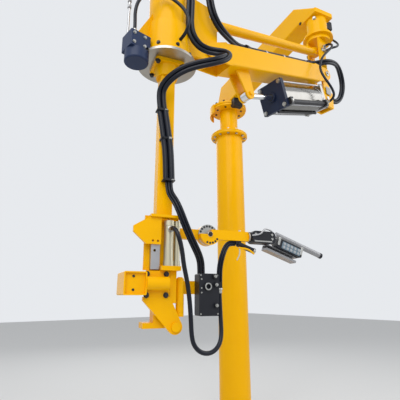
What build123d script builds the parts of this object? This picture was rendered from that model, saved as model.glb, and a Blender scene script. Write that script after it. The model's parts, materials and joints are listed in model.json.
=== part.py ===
from build123d import *
import math
import os

# Material handling manipulator: pedestal, swinging inner arm, lifting parallelogram boom, mast and tool.
# Millimetres, +Z up. The origin is the centre of the base plate's underside, on the floor.
# The boom lies along -X, sloping down to the head. The inner arm swings about the column.

# Fits and gaps
running_gap = 0.3
side_gap = 5.0
pin_fit = 0.08

# Pedestal
base_side = 610.0
base_thickness = 25.0
anchor_spacing = 500.0
anchor_radius = 13.0
column_od = 323.8
column_wall = 9.5
column_top = 3290.0
base_gusset_height = 200.0
base_gusset_thickness = 16.0
column_flange_od = 446.0
column_flange_thickness = 50.0
flange_collar_od = 300.0
flange_collar_height = 40.0
upper_od = 219.1
upper_wall = 8.2
upper_length = 316.0
swivel_disc_od = 430.0
swivel_disc_thickness = 24.0

# Flange under the inner arm, with a guard that reaches past the swivel disc
guard_clearance = 8.0
arm_flange_od = swivel_disc_od + 2 * guard_clearance
arm_flange_thickness = 20.0
guard_thickness = 12.0
guard_drop = 110.0
guard_middle = 142.0
guard_span = 72.0

# Inner arm, a tapered box that rests on the swivel disc and carries the elbow below its far end
arm_reach = 1581.0
arm_azimuth = -102.5
arm_width = 180.0
arm_root_length = 175.0
arm_root_top = 318.0
arm_root_top_start = -30.0
arm_rise = 85.0
arm_end_height = 215.0
arm_end_slant = 171.0
arm_corner = 14.0
elbow_plate_side = 197.0
elbow_plate_thickness = 40.0
elbow_od = 172.0
elbow_drum_height = 185.0
elbow_flange_od = 240.0
elbow_flange_thickness = 12.0
elbow_flare = 26.0
elbow_disc_od = 250.0
elbow_disc_thickness = 14.0

# Yoke with its three pins, one below the other
yoke_offset = 45.0
yoke_head_od = 200.0
yoke_head_height = 35.0
yoke_plate_thickness = 16.0
yoke_neck_half = 40.0
yoke_box_front = 50.0
yoke_box_back = 78.0
yoke_box_half = 69.0
boom_pin_drop = 390.0
parallel_pitch = 247.0
cylinder_pin_drop = 217.0
yoke_pin_radius = 15.0
link_pin_radius = 12.5

# Boom, a square tube with a fork at each end
boom_slope = 16.5
boom_length = 1262.0
boom_size = 150.0
boom_wall = 8.0
boom_tube_start = 142.0
front_fork_reach = 140.0
boom_tube_end = boom_length - front_fork_reach
fork_plate_thickness = 10.0
boss_radius = 50.0
gusset_pin_back = 287.0
gusset_pin_along = boom_length - gusset_pin_back
gusset_pin_below = 228.0
gusset_plate_thickness = 12.0
rod_od = 63.5

# Lift cylinder
barrel_od = 190.0
barrel_bore = 172.0
barrel_length = 480.0
barrel_start = 107.0
end_plate_side = 206.0
rear_plate_side = 190.0
end_plate_thickness = 30.0
piston_rod_radius = 20.0
piston_thickness = 40.0
piston_stand = 320.0
side_tube_radius = 22.0
eye_thickness = 46.0

# Head
head_offset = 268.0
head_od = 215.0
head_top = 3240.0
head_bottom = 2635.0
skirt_od = 262.0
skirt_height = 190.0
brake_disc_od = 320.0
brake_disc_thickness = 14.0
brake_gap = 16.0
hub_plate_side = 160.0
hub_plate_thickness = 18.0

# Mast and tool; the tool's frame is turned about the mast
tool_turn = -15.7
mast_size = 76.2
mast_wall = 6.4
mast_bottom = 1290.0

# Tool, heights above the floor and distances from the mast's axis
back_plate_thickness = 12.0
back_plate_low = 1400.0
back_plate_high = 1760.0
rail_thickness = 24.0
rail_low = 1515.0
rail_high = 1640.0
clamp_cylinder_low = 1530.0
clamp_cylinder_high = 1735.0
clamp_rod_radius = 6.0
jaw_low = 1624.0
jaw_high = 1748.0
jaw_thickness = 16.0
carriage_centre = 1454.0
carriage_side = 110.0
side_block_side = 98.0
manifold_high = 1503.0
manifold_height = 189.0
manifold_low = manifold_high - manifold_height
handle_above_manifold = 191.0
handle_height = manifold_high + handle_above_manifold
handle_hinge_out = 232.0
handle_disc_radius = 52.0
handle_pin_radius = 9.0

# Calipers of the two brakes on the arm and the one on the head
caliper_gap = 6.0
column_caliper_azimuth = -108.0
column_caliper_width = 110.0
column_caliper_reach = 67.0
column_caliper_drop = 100.0
elbow_caliper_reach = 150.0
elbow_caliper_width = 70.0
elbow_caliper_low = 3690.0
elbow_caliper_high = 3770.0
head_caliper_azimuth = 183.0
head_caliper_width = 100.0
head_caliper_reach = 250.0
head_caliper_rise = 55.0
head_chamber_radius = 62.0
head_chamber_height = 60.0
air_rod_radius = 6.0
air_rod_height = 250.0

# Hoses
conduit_diameter = 34.0
mast_conduit_diameter = 57.0
feed_hose_diameter = 15.0
tool_hose_diameter = 26.0
signal_hose_diameter = 20.0
bend_share = 0.45

# Worked out
column_flange_top = column_top + column_flange_thickness
upper_top = column_flange_top + upper_length
swivel_top = upper_top + swivel_disc_thickness
arm_bottom = swivel_top + running_gap + arm_flange_thickness
arm_direction = Vector(math.cos(math.radians(arm_azimuth)), math.sin(math.radians(arm_azimuth)), 0)
elbow_x = arm_reach * arm_direction.X
elbow_y = arm_reach * arm_direction.Y
elbow_plate_top = arm_bottom + arm_rise
elbow_drum_top = elbow_plate_top - elbow_plate_thickness
elbow_bottom = elbow_drum_top - elbow_drum_height
elbow_disc_top = elbow_bottom - running_gap
yoke_top = elbow_disc_top - elbow_disc_thickness
pin_x = elbow_x - yoke_offset
boom_pin_z = yoke_top - boom_pin_drop
rod_pin_z = boom_pin_z + parallel_pitch
cylinder_pin_z = boom_pin_z - cylinder_pin_drop
slope = math.radians(boom_slope)
boom_dir = Vector(-math.cos(slope), 0, -math.sin(slope))
boom_up = Vector(-math.sin(slope), 0, math.cos(slope))
boom_pin = Vector(pin_x, elbow_y, boom_pin_z)
rod_pin = Vector(pin_x, elbow_y, rod_pin_z)
cylinder_pin = Vector(pin_x, elbow_y, cylinder_pin_z)
head_boom_pin = boom_pin + boom_dir * boom_length
head_rod_pin = rod_pin + boom_dir * boom_length
gusset_pin = boom_pin + boom_dir * gusset_pin_along - boom_up * gusset_pin_below
mast_x = head_boom_pin.X - head_offset
mast_y = elbow_y
fork_inner = boom_size / 2 - fork_plate_thickness
yoke_outer = fork_inner - side_gap
yoke_inner = yoke_outer - yoke_plate_thickness
cylinder_vector = gusset_pin - cylinder_pin
cylinder_dir = cylinder_vector.normalized()
cylinder_length = cylinder_vector.length
disc_top = head_bottom - brake_gap
hub_plate_top = disc_top - brake_disc_thickness
mast_top = hub_plate_top - hub_plate_thickness

# Planes
boom_plane = Plane(origin=boom_pin, x_dir=boom_dir, z_dir=(0, 1, 0))
rod_plane = Plane(origin=rod_pin, x_dir=boom_dir, z_dir=(0, 1, 0))
boom_section = Plane(origin=boom_pin + boom_dir * boom_tube_start, x_dir=(0, 1, 0), z_dir=boom_dir)
side_plane = Plane(origin=(0, elbow_y, 0), x_dir=(1, 0, 0), z_dir=(0, -1, 0))
cylinder_plane = Plane(origin=cylinder_pin, x_dir=cylinder_dir, z_dir=(0, 1, 0))
turn = math.radians(tool_turn)
tool_plane = Plane(origin=(mast_x, mast_y, 0), x_dir=(math.cos(turn), math.sin(turn), 0), z_dir=(0, 0, 1))


def cylinder_station(distance):
    """A plane across the lift cylinder at a distance from its rear pin."""
    return Plane(origin=cylinder_pin + cylinder_dir * distance, x_dir=(0, 1, 0), z_dir=cylinder_dir)


def boom_point(along, above, beside):
    """A point beside the boom's centre line, measured from the boom pin."""
    return boom_pin + boom_dir * along + boom_up * above + Vector(0, beside, 0)


def tool_point(x, y, z):
    """A point in the tool's frame."""
    return tool_plane.from_local_coords(Vector(x, y, z))


def tool_level(height):
    """A level plane in the tool's frame."""
    return tool_plane.offset(height)


def tool_front(y):
    """An upright plane in the tool's frame, facing the side where y is low."""
    origin = tool_plane.from_local_coords(Vector(0, y, 0))
    return Plane(origin=origin, x_dir=tool_plane.x_dir, z_dir=-tool_plane.y_dir)


os.makedirs("parts", exist_ok=True)
pieces = []


def hose(label, points, diameter):
    """Make a round hose of straight runs joined by tangent arcs, each fitted to its shorter run."""
    corners = [Vector(*point) for point in points]
    radii = []
    for before, corner, after in zip(corners, corners[1:], corners[2:]):
        incoming = corner - before
        outgoing = after - corner
        half_turn = math.radians(incoming.get_angle(outgoing)) / 2
        radii.append(bend_share * min(incoming.length, outgoing.length) / math.tan(half_turn))
    with BuildPart() as tube:
        with BuildLine() as route:
            FilletPolyline(*corners, radius=radii)
        with BuildSketch(Plane(origin=route.line @ 0, z_dir=route.line % 0)):
            Circle(diameter / 2)
        sweep()
    tube.part.label = label
    pieces.append(tube)
    route_length = sum(edge.length for edge in route.edges())
    share = tube.part.volume / (math.pi * diameter**2 / 4 * route_length)
    print(label, "length", round(route_length), "volume", round(share, 3), "radii", [round(r) for r in radii])


# Base plate with four anchor holes and four gussets up to the column
gusset_reach = 120.0
gusset_toe = 30.0
gusset_tip = 20.0
with BuildPart() as base_plate:
    with BuildSketch():
        RectangleRounded(base_side, base_side, 20)
        with GridLocations(anchor_spacing, anchor_spacing, 2, 2):
            Circle(anchor_radius, mode=Mode.SUBTRACT)
    extrude(amount=base_thickness)
    for quarter in range(4):
        leaf = Plane.XZ.rotated((0, 0, 90 * quarter)).offset(-base_gusset_thickness / 2)
        with BuildSketch(leaf):
            with BuildLine():
                Polyline(
                    (column_od / 2 - gusset_tip, base_thickness),
                    (column_od / 2 + gusset_reach, base_thickness),
                    (column_od / 2 + gusset_reach, base_thickness + gusset_toe),
                    (column_od / 2 + gusset_tip, base_thickness + base_gusset_height),
                    (column_od / 2 - gusset_tip, base_thickness + base_gusset_height),
                    close=True,
                )
            make_face()
        extrude(amount=base_gusset_thickness)
    with Locations((0, 0, base_thickness)):
        Cylinder(
            column_od / 2,
            base_gusset_height,
            align=(Align.CENTER, Align.CENTER, Align.MIN),
            mode=Mode.SUBTRACT,
        )
base_plate.part.label = "base_plate"
pieces.append(base_plate)

# Column tube
with BuildPart() as column_tube:
    with BuildSketch(Plane.XY.offset(base_thickness)):
        Circle(column_od / 2)
        Circle(column_od / 2 - column_wall, mode=Mode.SUBTRACT)
    extrude(amount=column_top - base_thickness)
column_tube.part.label = "column_tube"
pieces.append(column_tube)

# Upper column, turned from its flange through a tapered collar to the thinner pipe
flange_edge = 14.0
flange_lower_edge = 8.0
upper_bore = upper_od / 2 - upper_wall
with BuildPart() as upper_column:
    with BuildSketch(Plane.XZ):
        with BuildLine():
            Polyline(
                (upper_bore, column_top),
                (column_flange_od / 2 - flange_lower_edge, column_top),
                (column_flange_od / 2, column_top + flange_lower_edge),
                (column_flange_od / 2, column_flange_top - flange_edge),
                (column_flange_od / 2 - flange_edge, column_flange_top),
                (flange_collar_od / 2, column_flange_top),
                (upper_od / 2, column_flange_top + flange_collar_height),
                (upper_od / 2, upper_top),
                (upper_bore, upper_top),
                close=True,
            )
        make_face()
    revolve(axis=Axis.Z)
upper_column.part.label = "upper_column"
pieces.append(upper_column)

with BuildPart() as swivel_disc:
    with BuildSketch(Plane.XY.offset(upper_top)):
        Circle(swivel_disc_od / 2)
    extrude(amount=swivel_disc_thickness)
swivel_disc.part.label = "swivel_disc"
pieces.append(swivel_disc)

# Flange under the arm, with a curved guard that hangs past the swivel disc
with BuildPart() as arm_flange:
    with BuildSketch(Plane.XY.offset(arm_bottom)):
        Circle(arm_flange_od / 2)
    extrude(amount=-arm_flange_thickness)
    with BuildSketch(Plane.XY.offset(arm_bottom)):
        with BuildLine():
            guard_arc = CenterArc(
                (0, 0), arm_flange_od / 2 + guard_thickness / 2, guard_middle - guard_span / 2, guard_span
            )
        trace(line_width=guard_thickness)
    extrude(amount=-guard_drop)
arm_flange.part.label = "arm_flange"
pieces.append(arm_flange)

# Inner arm: one tapered box, slanted at both ends
arm_side = Plane(origin=(0, 0, 0), x_dir=arm_direction, z_dir=(arm_direction.Y, -arm_direction.X, 0))
with BuildPart() as inner_arm:
    with BuildSketch(arm_side):
        with BuildLine():
            Polyline(
                (-arm_root_length, arm_bottom),
                (arm_root_top_start, arm_bottom + arm_root_top),
                (arm_reach - arm_end_slant, elbow_plate_top + arm_end_height),
                (arm_reach + elbow_plate_side / 2, elbow_plate_top),
                (arm_reach - elbow_plate_side / 2, elbow_plate_top),
                (arm_root_length, arm_bottom),
                close=True,
            )
        make_face()
    extrude(amount=arm_width / 2, both=True)
    side_faces = inner_arm.faces().filter_by(lambda face: abs(face.normal_at().dot(arm_side.z_dir)) > 0.9)
    side_edges = side_faces.edges()
    fillet(side_edges, arm_corner)
inner_arm.part.label = "inner_arm"
pieces.append(inner_arm)

# Elbow housing: a square plate under the arm, a drum and its flared flange
elbow_plane = Plane(origin=(elbow_x, elbow_y, 0), x_dir=arm_direction, z_dir=(0, 0, 1))
elbow_front = Plane(
    origin=(elbow_x, elbow_y, 0), x_dir=arm_direction, z_dir=(arm_direction.Y, -arm_direction.X, 0)
)
elbow_axis = Axis((elbow_x, elbow_y, 0), (0, 0, 1))
with BuildPart() as elbow_housing:
    with BuildSketch(elbow_front):
        with BuildLine():
            Polyline(
                (0, elbow_bottom),
                (elbow_flange_od / 2, elbow_bottom),
                (elbow_flange_od / 2, elbow_bottom + elbow_flange_thickness),
                (elbow_od / 2, elbow_bottom + elbow_flange_thickness + elbow_flare),
                (elbow_od / 2, elbow_drum_top),
                (0, elbow_drum_top),
                close=True,
            )
        make_face()
    revolve(axis=elbow_axis)
    with BuildSketch(elbow_plane.offset(elbow_drum_top)):
        RectangleRounded(elbow_plate_side, elbow_plate_side, 10)
    extrude(amount=elbow_plate_thickness)
elbow_housing.part.label = "elbow_housing"
pieces.append(elbow_housing)

# Calipers on the arm: one reaches round the swivel disc, one sits against the elbow drum
caliper_turn = Plane.XY.rotated((0, 0, column_caliper_azimuth))
caliper_jaw_thickness = 26.0
caliper_jaw_length = 34.0
elbow_caliper_turn = Plane(
    origin=(elbow_x, elbow_y, 0), x_dir=(-arm_direction.Y, arm_direction.X, 0), z_dir=(0, 0, 1)
)
with BuildPart() as arm_calipers:
    caliper_start = arm_flange_od / 2
    with BuildSketch(caliper_turn.offset(arm_bottom)):
        with Locations((caliper_start + column_caliper_reach / 2 - caliper_jaw_length / 4, 0)):
            Rectangle(column_caliper_reach + caliper_jaw_length / 2, column_caliper_width)
        Circle(caliper_start, mode=Mode.SUBTRACT)
    extrude(amount=-column_caliper_drop)
    jaw_middle = caliper_start + side_gap - caliper_jaw_length / 2
    with BuildSketch(caliper_turn.offset(upper_top - caliper_gap)):
        with Locations((jaw_middle, 0)):
            Rectangle(caliper_jaw_length, column_caliper_width)
    extrude(amount=-caliper_jaw_thickness)
    with BuildSketch(elbow_caliper_turn.offset(elbow_caliper_low)):
        with Locations((elbow_caliper_reach / 2, 0)):
            Rectangle(elbow_caliper_reach, elbow_caliper_width)
    extrude(amount=elbow_drum_top - elbow_caliper_low)
    with BuildSketch(elbow_caliper_turn.offset(elbow_drum_top)):
        with Locations(((elbow_caliper_reach + elbow_plate_side / 2) / 2 + running_gap / 2, 0)):
            Rectangle(elbow_caliper_reach - elbow_plate_side / 2 - running_gap, elbow_caliper_width)
    extrude(amount=elbow_caliper_high - elbow_drum_top)
    with BuildSketch(elbow_caliper_turn.offset(elbow_caliper_low)):
        Circle(elbow_od / 2)
    extrude(amount=elbow_drum_top - elbow_caliper_low, mode=Mode.SUBTRACT)
arm_calipers.part.label = "arm_calipers"
pieces.append(arm_calipers)

# Yoke: disc, head, two cheeks with the pins' bores, and a web behind the cylinder's eye
yoke_cheek_top = yoke_top - yoke_head_height
yoke_web_thickness = 16.0
yoke_shoulder = 60.0
with BuildPart() as yoke_frame:
    with BuildSketch(Plane.XY.offset(yoke_top)):
        with Locations((elbow_x, elbow_y)):
            Circle(elbow_disc_od / 2)
    extrude(amount=elbow_disc_thickness)
    with BuildSketch(Plane.XY.offset(yoke_top)):
        with Locations((elbow_x - yoke_offset / 2, elbow_y)):
            SlotCenterToCenter(yoke_offset, 2 * yoke_outer)
        with Locations((elbow_x, elbow_y)):
            Circle(yoke_head_od / 2)
    extrude(amount=-yoke_head_height)
    with BuildSketch(side_plane.offset(yoke_inner)):
        with BuildLine():
            Polyline(
                (pin_x - yoke_neck_half, yoke_cheek_top),
                (elbow_x + yoke_neck_half, yoke_cheek_top),
                (pin_x + yoke_neck_half, yoke_cheek_top - yoke_shoulder),
                (pin_x + yoke_neck_half, cylinder_pin_z + yoke_box_half),
                (pin_x + yoke_box_back, cylinder_pin_z + yoke_box_half),
                (pin_x + yoke_box_back, cylinder_pin_z - yoke_box_half),
                (pin_x - yoke_box_front, cylinder_pin_z - yoke_box_half),
                (pin_x - yoke_box_front, cylinder_pin_z + yoke_box_half),
                (pin_x - yoke_neck_half, cylinder_pin_z + yoke_box_half),
                close=True,
            )
        make_face()
        for pin_z in (rod_pin_z, boom_pin_z, cylinder_pin_z):
            with Locations((pin_x, pin_z)):
                Circle(yoke_pin_radius, mode=Mode.SUBTRACT)
    extrude(amount=yoke_plate_thickness)
    mirror(about=Plane.XZ.offset(-elbow_y))
    with BuildSketch(side_plane):
        with Locations((pin_x + yoke_box_back - yoke_web_thickness / 2, cylinder_pin_z)):
            Rectangle(yoke_web_thickness, 2 * yoke_box_half)
    extrude(amount=yoke_inner, both=True)
yoke_frame.part.label = "yoke_frame"
pieces.append(yoke_frame)

boom_pin_proud = 8.0
cylinder_pin_proud = 6.0
with BuildPart() as yoke_pins:
    pin_halves = (
        (rod_pin_z, yoke_outer),
        (boom_pin_z, boom_size / 2 + boom_pin_proud),
        (cylinder_pin_z, yoke_outer + cylinder_pin_proud),
    )
    for pin_z, half in pin_halves:
        with BuildSketch(side_plane):
            with Locations((pin_x, pin_z)):
                Circle(yoke_pin_radius)
        extrude(amount=half, both=True)
yoke_pins.part.label = "yoke_pins"
pieces.append(yoke_pins)

# Boom tube
boom_tube_length = boom_tube_end - boom_tube_start
with BuildPart() as boom_tube:
    with BuildSketch(boom_section):
        RectangleRounded(boom_size, boom_size, 12)
        RectangleRounded(boom_size - 2 * boom_wall, boom_size - 2 * boom_wall, 5, mode=Mode.SUBTRACT)
    extrude(amount=boom_tube_length)
boom_tube.part.label = "boom_tube"
pieces.append(boom_tube)

# Forks at both ends of the boom: cheeks that taper from an end plate to the boss round the pin
fork_end_thickness = 12.0
fork_places = (("boom_rear_fork", 0.0, boom_tube_start), ("boom_front_fork", boom_length, boom_tube_end))
for fork_name, pin_at, tube_at in fork_places:
    inward = 1 if tube_at > pin_at else -1
    with BuildPart() as fork:
        with BuildSketch(boom_plane.offset(fork_inner)):
            with Locations((pin_at, 0)):
                Circle(boss_radius)
            with Locations((tube_at - inward * fork_end_thickness / 2, 0)):
                Rectangle(fork_end_thickness, boom_size)
            make_hull()
            with Locations((pin_at, 0)):
                Circle(yoke_pin_radius + pin_fit, mode=Mode.SUBTRACT)
        extrude(amount=fork_plate_thickness)
        mirror(about=Plane.XZ.offset(-elbow_y))
        end_plate = Plane(origin=boom_pin + boom_dir * tube_at, x_dir=(0, 1, 0), z_dir=boom_dir * -inward)
        with BuildSketch(end_plate):
            Rectangle(boom_size, boom_size)
        extrude(amount=fork_end_thickness)
    fork.part.label = fork_name
    pieces.append(fork)

# Gusset pair below the boom with pin heads on the outside
gusset_inner = eye_thickness / 2 + side_gap
gusset_foot = 4.0
gusset_root_length = 115.0
gusset_root_lead = 20.0
gusset_boss_radius = 36.0
gusset_pin_head = 10.0
with BuildPart() as boom_gusset:
    with BuildSketch(boom_plane.offset(gusset_inner)):
        with Locations((gusset_pin_along, -gusset_pin_below)):
            Circle(gusset_boss_radius)
        with Locations((gusset_pin_along + gusset_root_lead, -boom_size / 2 - gusset_foot / 2)):
            Rectangle(gusset_root_length, gusset_foot)
        make_hull()
    extrude(amount=gusset_plate_thickness)
    with BuildSketch(boom_plane.offset(gusset_inner + gusset_plate_thickness)):
        with Locations((gusset_pin_along, -gusset_pin_below)):
            Circle(link_pin_radius)
    extrude(amount=gusset_pin_head)
    mirror(about=Plane.XZ.offset(-elbow_y))
boom_gusset.part.label = "boom_gusset"
pieces.append(boom_gusset)

# Upper parallel rod: a pipe with a flattened eye at each end
rod_eye_radius = 34.0
rod_eye_half = 25.0
rod_eye_length = 70.0
rod_bore_slack = 1.0
with BuildPart() as parallel_rod:
    with BuildSketch(Plane(origin=rod_pin + boom_dir * rod_eye_length, x_dir=(0, 1, 0), z_dir=boom_dir)):
        Circle(rod_od / 2)
    extrude(amount=boom_length - 2 * rod_eye_length)
    for along, inward in ((0, 1), (boom_length, -1)):
        with BuildSketch(rod_plane):
            with Locations((along, 0)):
                Circle(rod_eye_radius)
            with Locations((along + inward * rod_eye_length, 0)):
                Circle(rod_od / 2 - 4)
            make_hull()
        extrude(amount=rod_eye_half, both=True)
    with BuildSketch(rod_plane):
        with Locations((0, 0)):
            Circle(yoke_pin_radius + pin_fit)
        with Locations((boom_length, 0)):
            Circle(yoke_pin_radius + rod_bore_slack)
    extrude(amount=yoke_inner, both=True, mode=Mode.SUBTRACT)
parallel_rod.part.label = "parallel_rod"
pieces.append(parallel_rod)

# Lift cylinder: rear eye and cap, barrel, front plate with its gland, side tube and lower bar
barrel_end = barrel_start + end_plate_thickness + barrel_length
rear_eye_radius = 38.0
rear_eye_half = yoke_inner - side_gap
with BuildPart() as cylinder_rear:
    with BuildSketch(cylinder_station(barrel_start)):
        RectangleRounded(rear_plate_side, rear_plate_side, 8)
    extrude(amount=end_plate_thickness)
    with BuildSketch(cylinder_plane):
        Circle(rear_eye_radius)
        with Locations((barrel_start - fork_end_thickness / 2, 0)):
            Rectangle(fork_end_thickness, 2.6 * rear_eye_radius)
        make_hull()
    extrude(amount=rear_eye_half, both=True)
    with BuildSketch(cylinder_plane):
        Circle(yoke_pin_radius + pin_fit)
    extrude(amount=yoke_outer, both=True, mode=Mode.SUBTRACT)
cylinder_rear.part.label = "cylinder_rear"
pieces.append(cylinder_rear)

with BuildPart() as cylinder_barrel:
    with BuildSketch(cylinder_station(barrel_start + end_plate_thickness)):
        Circle(barrel_od / 2)
        Circle(barrel_bore / 2, mode=Mode.SUBTRACT)
    extrude(amount=barrel_length)
cylinder_barrel.part.label = "cylinder_barrel"
pieces.append(cylinder_barrel)

gland_radius = 34.0
gland_length = 12.0
with BuildPart() as cylinder_front:
    with BuildSketch(cylinder_station(barrel_end)):
        RectangleRounded(end_plate_side, end_plate_side, 8)
    extrude(amount=end_plate_thickness)
    with BuildSketch(cylinder_station(barrel_end + end_plate_thickness)):
        Circle(gland_radius)
    extrude(amount=gland_length)
    with BuildSketch(cylinder_station(barrel_end)):
        Circle(piston_rod_radius + 2)
    extrude(amount=end_plate_thickness + gland_length, mode=Mode.SUBTRACT)
cylinder_front.part.label = "cylinder_front"
pieces.append(cylinder_front)

side_tube_across = -barrel_od / 2 - 4.4
side_tube_below = 70.0
side_fitting_length = 30.0
side_fitting_half = 25.0
bar_radius = 9.0
with BuildPart() as cylinder_pipes:
    with BuildSketch(cylinder_station(barrel_start + end_plate_thickness)):
        with Locations((side_tube_across, side_tube_below)):
            Circle(side_tube_radius - 4)
        with Locations((0, barrel_od / 2 + bar_radius + running_gap)):
            Circle(bar_radius)
        Circle(barrel_od / 2, mode=Mode.SUBTRACT)
    extrude(amount=barrel_length)
    for fitting_at in (0.0, barrel_length - side_fitting_length):
        with BuildSketch(cylinder_station(barrel_start + end_plate_thickness + fitting_at)):
            with Locations((side_tube_across, side_tube_below)):
                Rectangle(2 * side_fitting_half, 2 * side_fitting_half)
            Circle(barrel_od / 2, mode=Mode.SUBTRACT)
        extrude(amount=side_fitting_length)
cylinder_pipes.part.label = "cylinder_pipes"
pieces.append(cylinder_pipes)

# Piston rod with its eye at the gusset and its piston in the barrel
piston_at = barrel_start + end_plate_thickness + piston_stand
rod_eye_outer = 34.0
with BuildPart() as piston_rod:
    with BuildSketch(cylinder_station(piston_at)):
        Circle(piston_rod_radius)
    extrude(amount=cylinder_length - piston_at)
    with BuildSketch(cylinder_station(piston_at)):
        Circle(barrel_bore / 2 - running_gap)
    extrude(amount=piston_thickness)
    with BuildSketch(cylinder_plane):
        with Locations((cylinder_length, 0)):
            Circle(rod_eye_outer)
    extrude(amount=eye_thickness / 2, both=True)
piston_rod.part.label = "piston_rod"
pieces.append(piston_rod)

# Head: swivel drum with a stepped, flared skirt
head_axis = Axis((mast_x, mast_y, 0), (0, 0, 1))
skirt_lip = 18.0
skirt_shoulder = 14.0
head_crown = 16.0
head_points = (
    (0, head_bottom),
    (skirt_od / 2, head_bottom),
    (skirt_od / 2, head_bottom + skirt_lip),
    (head_od / 2 + skirt_shoulder, head_bottom + skirt_height),
    (head_od / 2, head_bottom + skirt_height + skirt_shoulder),
    (head_od / 2, head_top - head_crown),
    (head_od / 2 - head_crown, head_top),
    (0, head_top),
)
head_front = Plane(origin=(mast_x, mast_y, 0), x_dir=(1, 0, 0), z_dir=(0, -1, 0))
with BuildPart() as head_housing:
    with BuildSketch(head_front):
        with BuildLine():
            Polyline(*head_points, close=True)
        make_face()
    revolve(axis=head_axis)
head_housing.part.label = "head_housing"
pieces.append(head_housing)

# Head caliper round the brake disc: a block above, a bridge, and a round chamber below the disc
caliper_azimuth = math.radians(head_caliper_azimuth)
caliper_plane = Plane(
    origin=(mast_x, mast_y, 0),
    x_dir=(math.cos(caliper_azimuth), math.sin(caliper_azimuth), 0),
    z_dir=(0, 0, 1),
)
caliper_side = Plane(origin=(mast_x, mast_y, 0), x_dir=caliper_plane.x_dir, z_dir=-caliper_plane.y_dir)
caliper_bridge_from = brake_disc_od / 2 + side_gap
caliper_block_from = skirt_od / 2 + side_gap
caliper_under = disc_top - brake_disc_thickness - side_gap
caliper_top = head_bottom + head_caliper_rise
chamber_out = head_caliper_reach - head_chamber_radius
with BuildPart() as head_caliper:
    with BuildSketch(caliper_side):
        with BuildLine():
            Polyline(
                (caliper_block_from, disc_top + side_gap),
                (caliper_bridge_from, disc_top + side_gap),
                (caliper_bridge_from, caliper_under),
                (head_caliper_reach, caliper_under),
                (head_caliper_reach, caliper_top),
                (caliper_block_from, caliper_top),
                close=True,
            )
        make_face()
    extrude(amount=head_caliper_width / 2, both=True)
    fillet(head_caliper.edges().filter_by(Axis.Z), 6)
    with BuildSketch(caliper_plane.offset(caliper_under)):
        with Locations((chamber_out, 0)):
            Circle(head_chamber_radius)
    extrude(amount=-head_chamber_height)
    fillet(head_caliper.edges().group_by(Axis.Z)[0], 8)
head_caliper.part.label = "head_caliper"
pieces.append(head_caliper)

air_rod_place = (head_caliper_reach - 20, -30)
air_nut_height = 14.0
air_nuts_at = (0.0, air_rod_height - 60, air_rod_height - 20)
with BuildPart() as head_air_rod:
    with BuildSketch(caliper_plane.offset(caliper_top)):
        with Locations(air_rod_place):
            Circle(air_rod_radius)
    extrude(amount=air_rod_height)
    for nut_at in air_nuts_at:
        with BuildSketch(caliper_plane.offset(caliper_top + nut_at)):
            with Locations(air_rod_place):
                RegularPolygon(2 * air_rod_radius, 6)
        extrude(amount=air_nut_height)
head_air_rod.part.label = "head_air_rod"
pieces.append(head_air_rod)

# Head bracket: plates from the drum to the boom and rod pins, and a rib that carries the caliper
bracket_edge = 45.0
bracket_end = 60.0
bracket_foot = 40.0
caliper_rib_height = 200.0
caliper_rib_thickness = 14.0
caliper_rib_short = 40.0
with BuildPart() as head_bracket:
    with BuildSketch(side_plane.offset(yoke_inner)):
        with BuildLine():
            Polyline(
                (mast_x, head_bottom + bracket_foot),
                (head_boom_pin.X, head_boom_pin.Z - bracket_end),
                (head_boom_pin.X + bracket_edge, head_boom_pin.Z - bracket_end / 2),
                (head_boom_pin.X + bracket_edge, head_rod_pin.Z + bracket_end / 2),
                (head_boom_pin.X, head_rod_pin.Z + bracket_end),
                (mast_x, head_rod_pin.Z + bracket_end),
                close=True,
            )
        make_face()
        for pin_z in (head_boom_pin.Z, head_rod_pin.Z):
            with Locations((head_boom_pin.X, pin_z)):
                Circle(yoke_pin_radius, mode=Mode.SUBTRACT)
    extrude(amount=yoke_plate_thickness)
    mirror(about=Plane.XZ.offset(-elbow_y))
    with BuildSketch(caliper_side):
        with BuildLine():
            Polyline(
                (head_od / 4, caliper_top),
                (head_caliper_reach - caliper_rib_short, caliper_top),
                (head_od / 2, caliper_top + caliper_rib_height),
                (head_od / 4, caliper_top + caliper_rib_height),
                close=True,
            )
        make_face()
    extrude(amount=caliper_rib_thickness / 2, both=True)
    with BuildSketch(head_front):
        with BuildLine():
            Polyline(*head_points, close=True)
        make_face()
    revolve(axis=head_axis, mode=Mode.SUBTRACT)
head_bracket.part.label = "head_bracket"
pieces.append(head_bracket)

with BuildPart() as head_pins:
    for pin_z, half in ((head_rod_pin.Z, yoke_outer), (head_boom_pin.Z, boom_size / 2 + boom_pin_proud)):
        with BuildSketch(side_plane):
            with Locations((head_boom_pin.X, pin_z)):
                Circle(yoke_pin_radius)
        extrude(amount=half, both=True)
head_pins.part.label = "head_pins"
pieces.append(head_pins)

# Brake disc on its spindle boss, turning below the head
spindle_radius = 50.0
with BuildPart() as brake_disc:
    with BuildSketch(tool_level(hub_plate_top)):
        Circle(brake_disc_od / 2)
    extrude(amount=brake_disc_thickness)
    with BuildSketch(tool_level(disc_top)):
        Circle(spindle_radius)
    extrude(amount=head_bottom - running_gap - disc_top)
brake_disc.part.label = "brake_disc"
pieces.append(brake_disc)

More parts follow.
